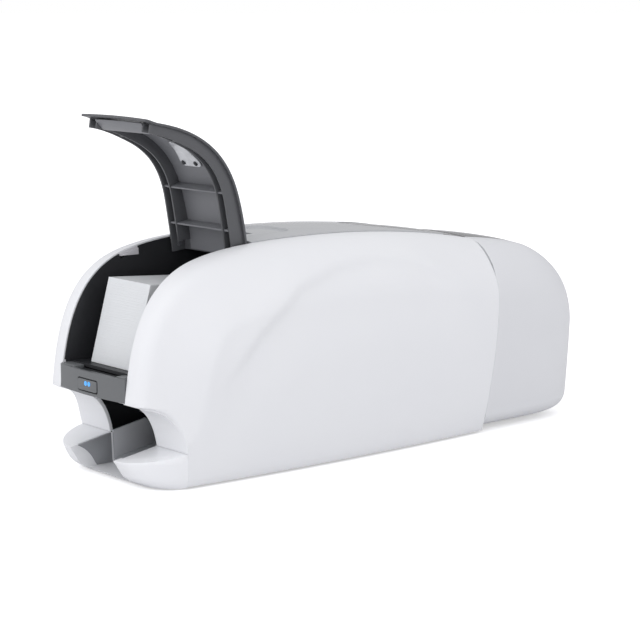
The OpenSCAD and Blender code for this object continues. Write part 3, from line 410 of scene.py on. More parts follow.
# Line of the arch on the side, where the shoulder folds into the flat
ARCH = [(-170, 70), (-156, 86), (-130, 114), (-93, 143), (-54, 155), (-14, 158), (27, 152),
        (59, 139), (80, 127)]
# The step: how deep it is, and how far below the arch it starts, is full and has faded out
ARCH_STEP, STEP_START, STEP_FULL, STEP_GONE = 2.4, -3, 8, 68
# The swell: how high it is, and how far below the arch it starts, is full, fades and is gone
ARCH_SWELL, SWELL_START, SWELL_FULL, SWELL_FADE, SWELL_GONE = 1.7, -34, -4, -3, 13
# Lengths over which the arch fades out at its front and its rear, and the depth below the rim
# over which it starts
ARCH_FADE_FRONT, ARCH_FADE_REAR, ARCH_FADE_RIM = 40, 45, 14


def arch_relief(y, z):
    """How far the side lies back below the arch, and swells out above it."""
    front, rear = ARCH[0][0], ARCH[-1][0]
    if not front < y < rear:
        return 0.0
    for (ay, az), (by, bz) in zip(ARCH, ARCH[1:]):
        if ay <= y <= by:
            below = mix(az, bz, (y - ay) / (by - ay)) - z
            ends = ramp(y, front, front + ARCH_FADE_FRONT) * ramp(y, rear, rear - ARCH_FADE_REAR)
            step = ramp(below, STEP_START, STEP_FULL) * (1 - ramp(below, STEP_FULL, STEP_GONE))
            swell = ramp(below, SWELL_START, SWELL_FULL) * (1 - ramp(below, SWELL_FADE, SWELL_GONE))
            return ends * (ARCH_STEP * step - ARCH_SWELL * swell)
    return 0.0


def panel_foot(s):
    """Lower end of the line down the side from the rim at s."""
    if s < CUTOUT_END:
        return bez(CUTOUT, s / CUTOUT_END)
    (ay, az), (by, bz) = CUTOUT[-1], TRAY_SEAM_LOW
    if s < TRAY_SEAM_END:
        t = (s - CUTOUT_END) / (TRAY_SEAM_END - CUTOUT_END)
        return mix(ay, by, t), mix(az, bz, t)
    return mix(by, SEAM, ((s - TRAY_SEAM_END) / (RIM_END - TRAY_SEAM_END)) ** 1.05), LIFT


# Stretch of the rim over which the nose's shoulder turns into that of the sides
NOSE_START, NOSE_DONE = 0.5, 1.7


def panel_point(s, t):
    """Place on the side: 0 at the rim and 1 at the foot of the line down from s."""
    (ay, az), (by, bz) = rim(s), panel_foot(s)
    y, z = mix(ay, by, t), mix(az, bz, t)
    depth = rim_distance(y, z) if t > 0 else 0.0
    relief = arch_relief(y, z) * ramp(depth, 0, ARCH_FADE_RIM)
    return shoulder(y, z, depth, ramp(s, NOSE_START, NOSE_DONE)) - relief, y, z


PANEL_START, PANEL_STEP = 0.02, 0.02
# Rows down the side, which lie closer together near the rim, and rows across the cheek
PANEL_ROWS, PANEL_CROWDING, CHEEK_ROWS = 56, 1.8, 16
# Half-width of the card exit
EXIT_HALF = 30.5


# Radius of the edge between the hollow and the side at both ends, and how much it grows between
CORNER_LEAST, CORNER_GROWTH = 1.0, 7
# Stretches of the rim over which it grows and shrinks again
CORNER_GROWS, CORNER_SHRINKS = (0.05, 0.3), (0.45, CUTOUT_END)


def corner_round(s):
    """Radius along the edge between the hollow above the tray and the side."""
    return CORNER_LEAST + CORNER_GROWTH * ramp(s, *CORNER_GROWS) * (1 - ramp(s, *CORNER_SHRINKS))


def make_casing_side():
    """Right side of the casing, as a sheet from the rim to the floor and into the hollow."""
    def stop(s):
        if s > CUTOUT_END:
            return 1.0
        return 1 - corner_round(s) / math.dist(rim(s), panel_foot(s))

    def flank(u, v):
        s = mix(PANEL_START, RIM_END, u)
        return panel_point(s, stop(s) * v**PANEL_CROWDING)

    def cheek(u, v):
        # Round the corner, then straight in to the card exit
        s = mix(PANEL_START, CUTOUT_END, u)
        a, p = Vector(panel_point(s, stop(s))), Vector(panel_point(s, 1))
        b = p - Vector((corner_round(s), 0, 0))
        if v < 0.5:
            t = v * 2
            return (1 - t) ** 2 * a + 2 * (1 - t) * t * p + t * t * b
        return mix(b, Vector((EXIT_HALF, p.y, p.z)), v * 2 - 1)

    outer = sheet("casing_side_right", round((RIM_END - PANEL_START) / PANEL_STEP), PANEL_ROWS, flank)
    inner = sheet("cheek", round((CUTOUT_END - PANEL_START) / PANEL_STEP), CHEEK_ROWS, cheek)
    piece = join("casing_side_right", outer, inner)
    weld(piece)
    return piece


# ---- materials ----
# Width of the soft patches of tone in moulded plastic
PATCH_MM = 60
# How far the gloss strays from its middle, as a share, on plastic and on metal
PLASTIC_STRAY, METAL_STRAY = 0.12, 0.2
# Lines, light or dark, that a wave texture of scale 1 draws per metre
WAVE_LINES = 6.3


def material(name):
    """Empty material with its output and the Object coordinates all patterns use."""
    made = bpy.data.materials.new(name)
    made.use_nodes = True
    tree = made.node_tree
    tree.nodes.clear()
    return made, tree, add(tree, "ShaderNodeTexCoord").outputs["Object"]


def moulded_plastic(name, light, dark, roughness, grain_mm, depth_mm, coat=0.0):
    """Injection moulded plastic: two close tones in soft patches, an eroded grain from the
    mould, and a little unevenness in the gloss. A real grain, of about 0.1 mm, is too fine to
    show, so it is drawn several times as coarse."""
    made, tree, where = material(name)
    patches = add(tree, "ShaderNodeTexNoise",
                  {"Vector": where, "Scale": 1 / (PATCH_MM * MM), "Detail": 2.0, "Roughness": 0.5})
    tone = add(tree, "ShaderNodeMix", {0: patches.outputs["Fac"], 6: linear(dark), 7: linear(light)},
               data_type="RGBA")
    grain = add(tree, "ShaderNodeTexNoise",
                {"Vector": where, "Scale": 1 / (grain_mm * MM), "Detail": 3.0, "Roughness": 0.6})
    gloss = add(tree, "ShaderNodeMapRange",
                {"Value": grain.outputs["Fac"], 3: roughness * (1 - PLASTIC_STRAY),
                 4: min(1, roughness * (1 + PLASTIC_STRAY))})
    bump = add(tree, "ShaderNodeBump",
               {"Strength": 1.0, "Distance": depth_mm * MM, "Height": grain.outputs["Fac"]})
    shader = add(tree, "ShaderNodeBsdfPrincipled",
                 {"Base Color": tone.outputs[2], "Roughness": gloss.outputs[0],
                  "Normal": bump.outputs[0], "IOR": 1.5, "Coat Weight": coat})
    add(tree, "ShaderNodeOutputMaterial", {"Surface": shader.outputs[0]})
    return made


def turned_metal(name, light, dark, roughness, line_mm):
    """Metal with lines across it from turning, grinding or drawing, a few times as coarse as
    real ones so that they show."""
    made, tree, where = material(name)
    lines = add(tree, "ShaderNodeTexWave",
                {"Vector": where, "Scale": 1 / (line_mm * MM) / WAVE_LINES, "Distortion": 1.5,
                 "Detail": 2.0}, bands_direction="X")
    tone = add(tree, "ShaderNodeMix", {0: lines.outputs["Fac"], 6: linear(dark), 7: linear(light)},
               data_type="RGBA")
    gloss = add(tree, "ShaderNodeMapRange",
                {"Value": lines.outputs["Fac"], 3: roughness * (1 - METAL_STRAY),
                 4: roughness * (1 + METAL_STRAY)})
    bump = add(tree, "ShaderNodeBump",
               {"Strength": 0.6, "Distance": 0.01 * MM, "Height": lines.outputs["Fac"]})
    shader = add(tree, "ShaderNodeBsdfPrincipled",
                 {"Base Color": tone.outputs[2], "Roughness": gloss.outputs[0],
                  "Normal": bump.outputs[0], "Metallic": 1.0})
    add(tree, "ShaderNodeOutputMaterial", {"Surface": shader.outputs[0]})
    return made


# White ABS, moulded with a satin grain that blurs the room: the casing's sides and front
WHITE_ABS = moulded_plastic("white_abs_satin", "#e9eaec", "#e6e7ea", 0.42, 0.5, 0.006)
# The same white ABS with painted shade: a greyer tone stands in for the shade that falls on the rear
# housing
REAR_SHADED_ABS = moulded_plastic("white_abs_rear_painted_shade", "#dddee1", "#dadbde", 0.42, 0.5, 0.006)
# The same ABS, a little shinier from handling, with painted light: a whiter tone stands in for light
# on the tray's shaded inner walls
TRAY_LIT_ABS = moulded_plastic("white_abs_tray_painted_light", "#f0f1f3", "#ebecef", 0.38, 0.5, 0.005)
# Light grey ABS from a polished mould, which mirrors the room: the top cover
COVER_ABS = moulded_plastic("light_grey_abs_gloss", "#b9bbbe", "#b1b3b6", 0.18, 0.8, 0.002, coat=0.3)
# Dark grey ABS from a polished mould, which mirrors the room: the insert on the rear housing
INSERT_ABS = moulded_plastic("dark_grey_abs_gloss", "#3e3f42", "#37383b", 0.2, 0.8, 0.002, coat=0.3)
# Charcoal ABS, moulded with a satin grain and a soft sheen: the lid's outer shell
LID_ABS = moulded_plastic("charcoal_abs_satin", "#58595c", "#505154", 0.36, 0.45, 0.008)
# The same charcoal ABS, a little duller, with painted light: a lighter tone stands in for the light
# that falls inside the open lid, on its ribs, scoop and inner sheet
LID_LIT_INNER_ABS = moulded_plastic("charcoal_abs_painted_light", "#7b7c80", "#727377", 0.4, 0.5, 0.008)
# Grey ABS, moulded with a satin grain, nearly matt: the bezel and the button
BEZEL_ABS = moulded_plastic("grey_abs_satin", "#6a6c6e", "#606264", 0.42, 0.45, 0.01)
# Black ABS, moulded with a coarse grain that swallows light: the hopper and the frames
INNER_ABS = moulded_plastic("black_abs", "#242529", "#1b1c1f", 0.5, 0.6, 0.01)
# Light grey acetal, moulded, soft and waxy to the eye: the clips
CLIP_ACETAL = moulded_plastic("light_grey_acetal", "#cfced2", "#c6c5c9", 0.5, 0.6, 0.006)
# Grey ABS, moulded smooth, with a low shine, and painted light: a lighter tone stands in for light
# reaching into the recessed chute
CHUTE_LIT_ABS = moulded_plastic("grey_abs_chute_painted_light", "#c2c4c8", "#b8babe", 0.3, 0.5, 0.006)
# The same ABS in a darker grey: the tray's lining
LINING_ABS = moulded_plastic("grey_abs_lining", "#97999d", "#8d8f93", 0.3, 0.5, 0.006)
# White PVC, calendered smooth, with an even sheen: the cards
CARD_PVC = moulded_plastic("white_pvc_card", "#e5e7e9", "#e1e3e5", 0.35, 0.9, 0.001)
# Dark polycarbonate, moulded, nearly matt: the cassette and the flipper drum
DARK_PC = moulded_plastic("dark_polycarbonate", "#4d4f55", "#43454a", 0.45, 0.6, 0.008)
# Natural acetal, moulded, slightly waxy: the gears
GEAR_ACETAL = moulded_plastic("natural_acetal", "#dcdad0", "#d2d0c6", 0.4, 0.6, 0.004)
# Black rubber, ground, fully matt: the rollers, the belt and the feet
RUBBER = moulded_plastic("ground_rubber", "#2d2d2f", "#232325", 0.85, 0.35, 0.03)
# Blue silicone, cast, tacky and a little wet to the eye: the cleaning roller
SILICONE = moulded_plastic("blue_silicone", "#6190b8", "#5886b0", 0.3, 0.8, 0.003)
# Black enamel, baked on, with a slight orange peel: the motors' cans
ENAMEL = moulded_plastic("black_enamel", "#3d3e42", "#36373b", 0.35, 1.2, 0.01)
# Green solder mask, printed over glass fibre, with an even shine: the boards
SOLDER_MASK = moulded_plastic("green_solder_mask", "#2f6340", "#285638", 0.3, 1.5, 0.01)
# Dark ceramic, glazed, with a sharp shine: the print head
CERAMIC = moulded_plastic("glazed_ceramic", "#403f38", "#36352f", 0.15, 1.0, 0.002)
# Polyester film, dyed, thin and shiny, and the rolls wound from it: the ribbon
FILM = moulded_plastic("dye_film", "#5f4f80", "#524370", 0.15, 1.2, 0.002, coat=0.5)
# Black nylon, moulded glossy: the rocker switch
NYLON = moulded_plastic("black_nylon", "#202023", "#18181a", 0.25, 0.6, 0.003)
# Steel, ground bright, with fine lines: the shafts, pins, rods and screws
STEEL = turned_metal("ground_steel", "#cfd0d2", "#b9bbbe", 0.28, 0.25)
# Aluminium, extruded, with faint drawn lines: the heat sink
ALUMINIUM = turned_metal("extruded_aluminium", "#c9cacc", "#b4b6b8", 0.4, 0.5)
# Steel, blackened, with a dull shine: the small screws in the lid
DARK_SCREW = turned_metal("blackened_steel", "#4a4b4e", "#3c3d40", 0.4, 0.3)


def clear_plate():
    """Polycarbonate plate, glossy, with a painted reflection: pale grey to near-white tones in soft
    patches stand in for the room mirrored in it.
    """
    reflection_patch_mm = 9
    made, tree, where = material("polycarbonate_painted_reflection")
    reflection_patches = add(tree, "ShaderNodeTexNoise",
               {"Vector": where, "Scale": 1 / (reflection_patch_mm * MM), "Detail": 2.0})
    tone = add(tree, "ShaderNodeMix",
               {0: reflection_patches.outputs["Fac"], 6: linear("#9fa1a5"), 7: linear("#e6e8ec")},
               data_type="RGBA")
    shader = add(tree, "ShaderNodeBsdfPrincipled",
                 {"Base Color": tone.outputs[2], "Roughness": 0.12, "Coat Weight": 0.6,
                  "IOR": 1.58})
    add(tree, "ShaderNodeOutputMaterial", {"Surface": shader.outputs[0]})
    return made


def lit_lens():
    """Frosted lens over a blue diode: it glows, with a fine speckle of two blues."""
    speck_mm = 1.5
    made, tree, where = material("lit_blue_lens")
    speck = add(tree, "ShaderNodeTexNoise",
                {"Vector": where, "Scale": 1 / (speck_mm * MM), "Detail": 1.0})
    tone = add(tree, "ShaderNodeMix",
               {0: speck.outputs["Fac"], 6: linear("#2b86d8"), 7: linear("#5fb0ee")},
               data_type="RGBA")
    shader = add(tree, "ShaderNodeBsdfPrincipled",
                 {"Base Color": tone.outputs[2], "Roughness": 0.3,
                  "Emission Color": tone.outputs[2], "Emission Strength": 0.5})
    add(tree, "ShaderNodeOutputMaterial", {"Surface": shader.outputs[0]})
    return made


# Clear polycarbonate, polished, with a painted reflection in pale soft patches: the lid's window
WINDOW_REFLECTION_PC = clear_plate()
# Frosted polycarbonate, lit blue from behind: the status lights
LED_LENS = lit_lens()

SLOT_FINISH = {
    "casing_white": WHITE_ABS, "rear_white": REAR_SHADED_ABS, "tray_white": TRAY_LIT_ABS,
    "cover_grey": COVER_ABS, "insert_grey": INSERT_ABS, "lid_grey": LID_ABS,
    "bezel_grey": BEZEL_ABS, "inner_black": INNER_ABS, "clip_grey": CLIP_ACETAL,
    "chute_grey": CHUTE_LIT_ABS, "card_white": CARD_PVC, "steel": STEEL, "rubber": RUBBER,
    "clean_blue": SILICONE, "gear_white": GEAR_ACETAL, "motor_black": ENAMEL,
    "circuit": SOLDER_MASK, "head_ceramic": CERAMIC, "aluminium": ALUMINIUM,
    "ribbon_film": FILM, "ribbon_roll": FILM, "cassette_grey": DARK_PC,
    "switch_black": NYLON, "foot_rubber": RUBBER, "window": WINDOW_REFLECTION_PC, "status_led": LED_LENS,
}


def dress_cad_nodes():
    """Gives each CAD node the finish of its slot."""
    slots = {part["node"]: part["material_slot"] for part in frame["record"]["subparts"]}
    for name, node in frame["nodes"].items():
        finish = SLOT_FINISH.get(slots[name])
        if finish:
            node.data.materials.clear()
            node.data.materials.append(finish)


dress_cad_nodes()


# ---- casing ----
# Height below which the seam stays closed
SEAM_TOP = 134
CASING_ROUND = 0.5


def keep_seam_closed(piece, width):
    """Rounds a casing piece's sharp edges, apart from the lower part of the seam."""
    mesh = bmesh.new()
    mesh.from_mesh(piece.data)
    layers = mesh.edges.layers.float
    weights = layers.get("bevel_weight_edge") or layers.new("bevel_weight_edge")
    for edge in mesh.edges:
        a, b = (v.co for v in edge.verts)
        closed = min(a.y, b.y) > (SEAM - 0.5) * MM and max(a.z, b.z) < SEAM_TOP * MM
        sharp = len(edge.link_faces) == 2 and edge.calc_face_angle() > math.radians(50)
        edge[weights] = 1.0 if sharp and not closed else 0.0
    mesh.to_mesh(piece.data)
    mesh.free()
    apply_modifier(piece, "BEVEL", width=width * MM, segments=3, limit_method="WEIGHT",
                   use_clamp_overlap=True)


def make_casing():
    right = make_casing_side()
    apply_modifier(right, "SOLIDIFY", thickness=WALL * MM, offset=-1, use_even_offset=True)
    keep_seam_closed(right, CASING_ROUND)
    left = mirrored(right, "casing_side_left")
    dress(right, WHITE_ABS, "chassis", ["right_panel"])
    dress(left, WHITE_ABS, "chassis", ["left_panel"])


# ---- rear housing ----
REAR_LIFT = 4.5
CROWN = 2.4
INSERT_HALF, INSERT_BACK = 37.7, 172.0
# Fall of the top behind the seam: its slope and its curve
TOP_SLOPE, TOP_CURVE = 0.09, 0.001
# Where the rear end starts to round off, and by how much its top falls, its floor rises and
# its width shrinks
REAR_ROUND = 168.0
END_FALL, END_RISE, END_SHRINK = 30, 12, 0.34
# How squarely the top and the other sides round off, and how much lower the shoulder gets
FALL_POWER, END_POWER, END_SQUASH = 1.6, 3, 0.3
FOOT_ROUND = 13
# Shares of a ring at which its top, its side and its rounded foot end
RING_TOP, RING_SIDE, RING_FOOT = 0.2, 0.85, 0.95
# Share of the housing's sheet that lies before the rounded end
STRAIGHT_SHARE = 0.4
# Gap at the seam, how much the groove near the top adds to it, and where the groove starts and
# is full, as heights and as half-widths
SEAM_GAP, SEAM_GROOVE = 0.2, 1.9
GROOVE_HEIGHTS, GROOVE_WIDTHS = (128, 140), (45, 57)
# A depth that is always below the shoulder
FLAT_DEPTH = 200
OPENING_GAP = 0.4
SOCKET_HALF, SOCKET_LOW, SOCKET_HIGH = 27.3, 29.7, 54.3


def rear_top(y):
    """Height of the top's edge along its long curve."""
    return RIM[-1][-1][1] - TOP_SLOPE * (y - SEAM) - TOP_CURVE * (y - SEAM) ** 2


def rear_share(y):
    """How far along the rounded end a place is."""
    return clamp01((y - REAR_ROUND) / (REAR_END - REAR_ROUND))


def close_in(q, power):
    """How far the housing has rounded off, for a share of the rounded length."""
    return 1 - (1 - q**power) ** (1 / power)


def rear_drop(y):
    """How far the top falls below its long curve near the rear end."""
    return END_FALL * close_in(rear_share(y), FALL_POWER)


def rear_ring(y, v):
    """Half of one ring of the housing, from the middle of the top to the middle of the floor."""
    q = rear_share(y)
    top, low = rear_top(y) - rear_drop(y), REAR_LIFT + END_RISE * close_in(q, END_POWER)
    narrow = 1 - END_SHRINK * close_in(q, END_POWER)
    if v < RING_TOP:
        x = RIM_HALF * v / RING_TOP
        return x * narrow, y, top + CROWN * narrow * (1 - (v / RING_TOP) ** 2)
    if v < RING_SIDE:
        t = ((v - RING_TOP) / (RING_SIDE - RING_TOP)) ** 1.5
        z = mix(top, low + FOOT_ROUND, t)
        depth = (top - z) / (1 - END_SQUASH * close_in(q, FALL_POWER))
        return shoulder(y, z, depth, 1) * narrow, y, z
    x = shoulder(y, low + FOOT_ROUND, FLAT_DEPTH, 1)
    if v < RING_FOOT:
        a = math.pi / 2 * (v - RING_SIDE) / (RING_FOOT - RING_SIDE)
        return ((x - FOOT_ROUND * (1 - math.cos(a))) * narrow, y,
                low + FOOT_ROUND * (1 - math.sin(a)))
    return (x - FOOT_ROUND) * narrow * (1 - (v - RING_FOOT) / (1 - RING_FOOT)), y, low


def rear_place(u, v):
    """Half of the housing from the seam to the rear end, with the seam's groove."""
    if u < STRAIGHT_SHARE:
        x, _, z = rear_ring(SEAM + 1, v)
        gap = SEAM_GAP + SEAM_GROOVE * ramp(z, *GROOVE_HEIGHTS) * ramp(x, *GROOVE_WIDTHS)
        return rear_ring(mix(SEAM + gap, REAR_ROUND, u / STRAIGHT_SHARE), v)
    turn = math.sin(math.pi / 2 * (u - STRAIGHT_SHARE) / (1 - STRAIGHT_SHARE))
    return rear_ring(mix(REAR_ROUND, REAR_END, turn), v)


def make_rear_housing():
    touch = 0.02
    half = sheet("rear_housing_shell", 60, 100, rear_place)
    other = mirrored(half, "rear_half")
    shell = join("rear_housing_shell", half, other)
    edit(shell, (bpy.ops.mesh.remove_doubles, {"threshold": touch * MM}))
    # The last ring is closed by the flat rear wall
    edit(shell, (bpy.ops.mesh.select_all, {"action": "DESELECT"}))
    for v in shell.data.vertices:
        v.select = v.co.y > (REAR_END - touch) * MM
    for e in shell.data.edges:
        e.select = all(shell.data.vertices[i].select for i in e.vertices)
    bpy.ops.object.mode_set(mode="EDIT")
    bpy.ops.mesh.edge_face_add()
    bpy.ops.mesh.select_all(action="SELECT")
    bpy.ops.mesh.normals_make_consistent(inside=False)
    bpy.ops.object.mode_set(mode="OBJECT")
    apply_modifier(shell, "SOLIDIFY", thickness=WALL * MM, offset=-1, use_even_offset=True)
    cut(shell,
        box("insert_opening", (-INSERT_HALF - OPENING_GAP, SEAM - 5, 140),
            (INSERT_HALF + OPENING_GAP, INSERT_BACK + OPENING_GAP, 180)),
        box("socket_opening", (-SOCKET_HALF, REAR_END - 20, SOCKET_LOW),
            (SOCKET_HALF, REAR_END + 10, SOCKET_HIGH)))
    round_edges(shell, 0.35)
    dress(shell, REAR_SHADED_ABS, "chassis", ["rear_housing"])


# ---- top cover and rear insert ----
COVER_FRONT, COVER_BACK = -107.3, 88.0
COVER_HALF = 42.1
COVER_T = 2.4
COVER_PROUD = 0.6
TOP_CROWN = 2.0
# Where the middle of the cover's rear edge and of the insert's front edge lies
INSERT_TIP = 16.0
# Half of the gap between the cover and the insert
TIP_GAP = 0.45
INSERT_T, INSERT_SUNK = 2.2, 0.2
TOP_MARKS = [rim(1 + 0.01 * k) for k in range(201)]


def rim_height(y):
    """Height of the rim at a place along the top."""
    for (ay, az), (by, bz) in zip(TOP_MARKS, TOP_MARKS[1:]):
        if ay <= y <= by:
            return mix(az, bz, (y - ay) / (by - ay))
    return rear_top(y)


def top_height(x, y):
    """Height of the crowned top between the rims."""
    return rim_height(y) + TOP_CROWN * (1 - (x / COVER_HALF) ** 2)


def cover_end(x):
    """Rear edge of the cover: it runs forward to a rounded point in the middle."""
    return INSERT_TIP + (COVER_BACK - INSERT_TIP) * (x / COVER_HALF) ** 2


RELEASE_X, RELEASE_FRONT, RELEASE_BACK = 9.0, -101.0, -81.5
RELEASE_GAP, RELEASE_SUNK, RELEASE_T = 0.5, 1.8, 3
# Shallow dish around the release button: its depth, half the width and the rear end of its flat
# middle, how far it reaches beyond them, and the shares of that reach between which it rises
DISH_DEPTH, DISH_HALF, DISH_BACK, DISH_REACH = 1.6, 12, -66, (12, 14)
DISH_EDGE = (0.93, 1.03)
# Side view of an arm of the cover, and where the two arms start across
COVER_ARM = [(50, 167), (82, 162), (84, 158), (105, 155), (109, 153), (109, 146), (101, 145),
             (78, 156)]
ARM_PLACES, ARM_T = (38.2, -41.2), 3


def make_top_cover():
    def place(u, v):
        x = mix(-COVER_HALF, COVER_HALF, u)
        y = mix(COVER_FRONT, cover_end(x) - TIP_GAP, v)
        reach = math.hypot(max(0, abs(x) - DISH_HALF) / DISH_REACH[0],
                           max(0, y - DISH_BACK) / DISH_REACH[1])
        dish = DISH_DEPTH * (1 - ramp(reach, *DISH_EDGE))
        return x, y, top_height(x, y) - dish + COVER_PROUD

    cover = sheet("top_cover_skin", 90, 160, place)
    apply_modifier(cover, "SOLIDIFY", thickness=COVER_T * MM, offset=-1, use_even_offset=True)
    cut(cover, box("button_opening", (-RELEASE_X - RELEASE_GAP, RELEASE_FRONT - RELEASE_GAP, 150),
                   (RELEASE_X + RELEASE_GAP, RELEASE_BACK + RELEASE_GAP, 190)))
    # Arms below both rear corners, which reach back to the hinge pins
    arms = [across("cover_arm", COVER_ARM, x, x + ARM_T) for x in ARM_PLACES]
    for piece in (cover, *arms):
        round_edges(piece, 0.3)
    cover = join("top_cover_moulding", cover, *arms)
    dress(cover, COVER_ABS, "top_cover", ["top_cover"])


def make_release_button():
    height = top_height(0, RELEASE_FRONT) - RELEASE_SUNK
    button = sheet("release_button_cap", 12, 12, lambda u, v: (
        mix(-RELEASE_X, RELEASE_X, u), mix(RELEASE_FRONT, RELEASE_BACK, v), height))
    apply_modifier(button, "SOLIDIFY", thickness=RELEASE_T * MM, offset=-1, use_even_offset=True)
    round_edges(button, 0.5, 3)
    dress(button, COVER_ABS, "cover_release", ["cover_release"])


def make_rear_insert():
    def place(u, v):
        x = mix(-INSERT_HALF, INSERT_HALF, u)
        y = mix(cover_end(x) + TIP_GAP, INSERT_BACK, v)
        if y < SEAM:
            z = top_height(x, y) - INSERT_SUNK
        else:
            z = rear_top(y) - rear_drop(y) + CROWN * (1 - (x / RIM_HALF) ** 2) - INSERT_SUNK
        return x, y, z

    insert = sheet("rear_insert_skin", 60, 120, place)
    apply_modifier(insert, "SOLIDIFY", thickness=INSERT_T * MM, offset=-1, use_even_offset=True)
    round_edges(insert, 0.3)
    dress(insert, INSERT_ABS, "chassis", ["rear_top_insert"])


# ---- hopper lid, drawn shut and then swung open ----
# Axis of the lid's hinge, and how far the lid is open
LID_Y, LID_Z = -115.8, 165.0
LID_OPEN = math.radians(87.6)
LID_HALF = 41.1
# Ends of the lid along the rim, and where its flanges start
LID_FRONT, LID_BACK = 0.16, 1.5
LID_WALLS = 0.205
# How far the flanges stand in from the lid's edges
LID_SET = 2.0
LID_T = 1.8
LID_CROWN = 0.8
LID_LIP = 1.6
# Long ribs: their place across, their thickness and where they end
LID_RIB, LONG_RIB_T, LONG_RIB_END = 29.5, 1.6, 1.42
# Places along the rim of the short ribs, the cross ribs and the wall in front of them
LID_CROSS_RIBS = (0.97, 1.28)
LID_END_WALL = 0.42
CROSS_RIB_T = 1.4
# Depth at which the ribs start, inside the skin
RIB_TOP = 1.0
STRIP_STEPS = 48
# Finger scoop: where it starts, its length along the rim, its depth and its thickness
SCOOP_START, SCOOP_LENGTH, SCOOP_DEPTH, SCOOP_T = 0.2, 0.065, 7.1, 1.2
# Sheet of painted light just inside the lid's skin: where it starts along the rim, and its thickness
LIT_SHEET_START, LIT_SHEET_T = 0.3, 0.3
# Depth of the flanges at the front, and two steps by which they get deeper: how much, and
# between which places along the rim
FLANGE_DEPTH = 8
FLANGE_STEPS = ((2.4, 0.2, 0.5), (2.8, 0.7, 1.3))


def lid_depth(s):
    """Depth of the flanges and ribs inside the lid."""
    return sum((more * ramp(s, start, end) for more, start, end in FLANGE_STEPS), FLANGE_DEPTH)


def swing_open(piece):
    """Turns a piece that is drawn with the lid shut to where the open lid has it."""
    cos, sin = math.cos(LID_OPEN), math.sin(LID_OPEN)
    for v in piece.data.vertices:
        y, z = v.co.y - LID_Y * MM, v.co.z - LID_Z * MM
        v.co.y = LID_Y * MM + y * cos + z * sin
        v.co.z = LID_Z * MM - y * sin + z * cos


def lid_strip(name, end, x0, x1, low, high):
    """Upright strip along the lid between two depths below its skin."""
    marks = [mix(LID_WALLS, end, k / STRIP_STEPS) for k in range(STRIP_STEPS + 1)]
    outline = [rim_in(s, low) for s in marks] + [rim_in(s, high(s)) for s in reversed(marks)]
    strip = across(name, outline, x0, x1)
    round_edges(strip, 0.25)
    return strip


def lid_cross(name, s, x0, x1, depth):
    """Flat rib across the lid, square to its skin."""
    (ay, az), (by, bz), (dy, dz) = rim_in(s, RIB_TOP), rim_in(s, depth), rim_dir(s)
    h = CROSS_RIB_T / 2
    rib = across(name, [(ay - dy * h, az - dz * h), (ay + dy * h, az + dz * h),
                        (by + dy * h, bz + dz * h), (by - dy * h, bz - dz * h)], x0, x1)
    round_edges(rib, 0.25)
    return rib


def lid_skin(u, v):
    """Outside of the lid, crowned across and with a raised lip at its front."""
    s, x = mix(LID_FRONT, LID_BACK, v), mix(-LID_HALF, LID_HALF, u)
    y, z = rim_in(s, -LID_CROWN * (1 - (x / LID_HALF) ** 2) - LID_LIP * ramp(s, 0.25, 0.16))
    return x, y, z


def lid_scoop(u, v):
    """Finger scoop behind the lip: it leaves the skin and curls down."""
    x = mix(-LID_RIB, LID_RIB, u)
    bow = 1 - (x / LID_RIB) ** 2
    s = SCOOP_START + SCOOP_LENGTH * v ** (1 + 0.5 * bow)
    y, z = rim_in(s, mix(RIB_TOP, SCOOP_DEPTH, 1 - (1 - v) ** 1.6))
    return x, y, z


def lid_lit_sheet(u, v):
    """Lighter sheet just inside the skin between the long ribs: painted light on the inside of the
    lid.
    """
    s, x = mix(LIT_SHEET_START, LID_BACK - 0.01, v), mix(-LID_RIB, LID_RIB, u)
    y, z = rim_in(s, LID_T + 0.05 - LID_CROWN * (1 - (x / LID_HALF) ** 2))
    return x, y, z


def make_lid():
    skin = sheet("lid_skin", 40, 90, lid_skin)
    apply_modifier(skin, "SOLIDIFY", thickness=LID_T * MM, offset=-1, use_even_offset=True)
    round_edges(skin, 0.5, 3)
    outer, inner = [skin], []
    edge = LID_HALF - LID_SET
    for side_x in (-1, 1):
        a, b = sorted((side_x * (edge - LID_T), side_x * edge))
        outer.append(lid_strip("flange", LID_BACK, a, b, 0.6, lid_depth))
        a, b = sorted((side_x * (LID_RIB - LONG_RIB_T / 2), side_x * (LID_RIB + LONG_RIB_T / 2)))
        outer.append(lid_strip("long_rib", LONG_RIB_END, a, b, RIB_TOP,
                               lambda s: lid_depth(s) - 0.3))
        a, b = sorted((side_x * LID_RIB, side_x * (edge - 1)))
        for s in LID_CROSS_RIBS:
            inner.append(lid_cross("short_rib", s, a, b, lid_depth(s) - 1.2))
        outer.append(lid_cross("end_wall", LID_END_WALL, a, b, lid_depth(LID_END_WALL) - 0.5))
    for s in LID_CROSS_RIBS:
        inner.append(lid_cross("cross_rib", s, -LID_RIB, LID_RIB, lid_depth(s) - 1.0))
    inner.append(sheet("scoop", 32, 16, lid_scoop))
    apply_modifier(inner[-1], "SOLIDIFY", thickness=SCOOP_T * MM, offset=-1)
    # A lighter sheet just inside the skin: painted light on the inside of the lid
    inner.append(sheet("lining", 24, 60, lid_lit_sheet))
    apply_modifier(inner[-1], "SOLIDIFY", thickness=LIT_SHEET_T * MM, offset=-1)
    lid = join("hopper_lid_shell", *outer)
    swing_open(lid)
    ribs = join("hopper_lid_ribs", *inner)
    swing_open(ribs)
    # The shell, flanges and long ribs keep the charcoal tone; the short ribs, scoop and sheet inside
    # take the lighter tone of painted light
    dress(lid, LID_ABS, "hopper_lid", ["hopper_lid"], smooth=40)
    dress(ribs, LID_LIT_INNER_ABS, "hopper_lid", smooth=40)


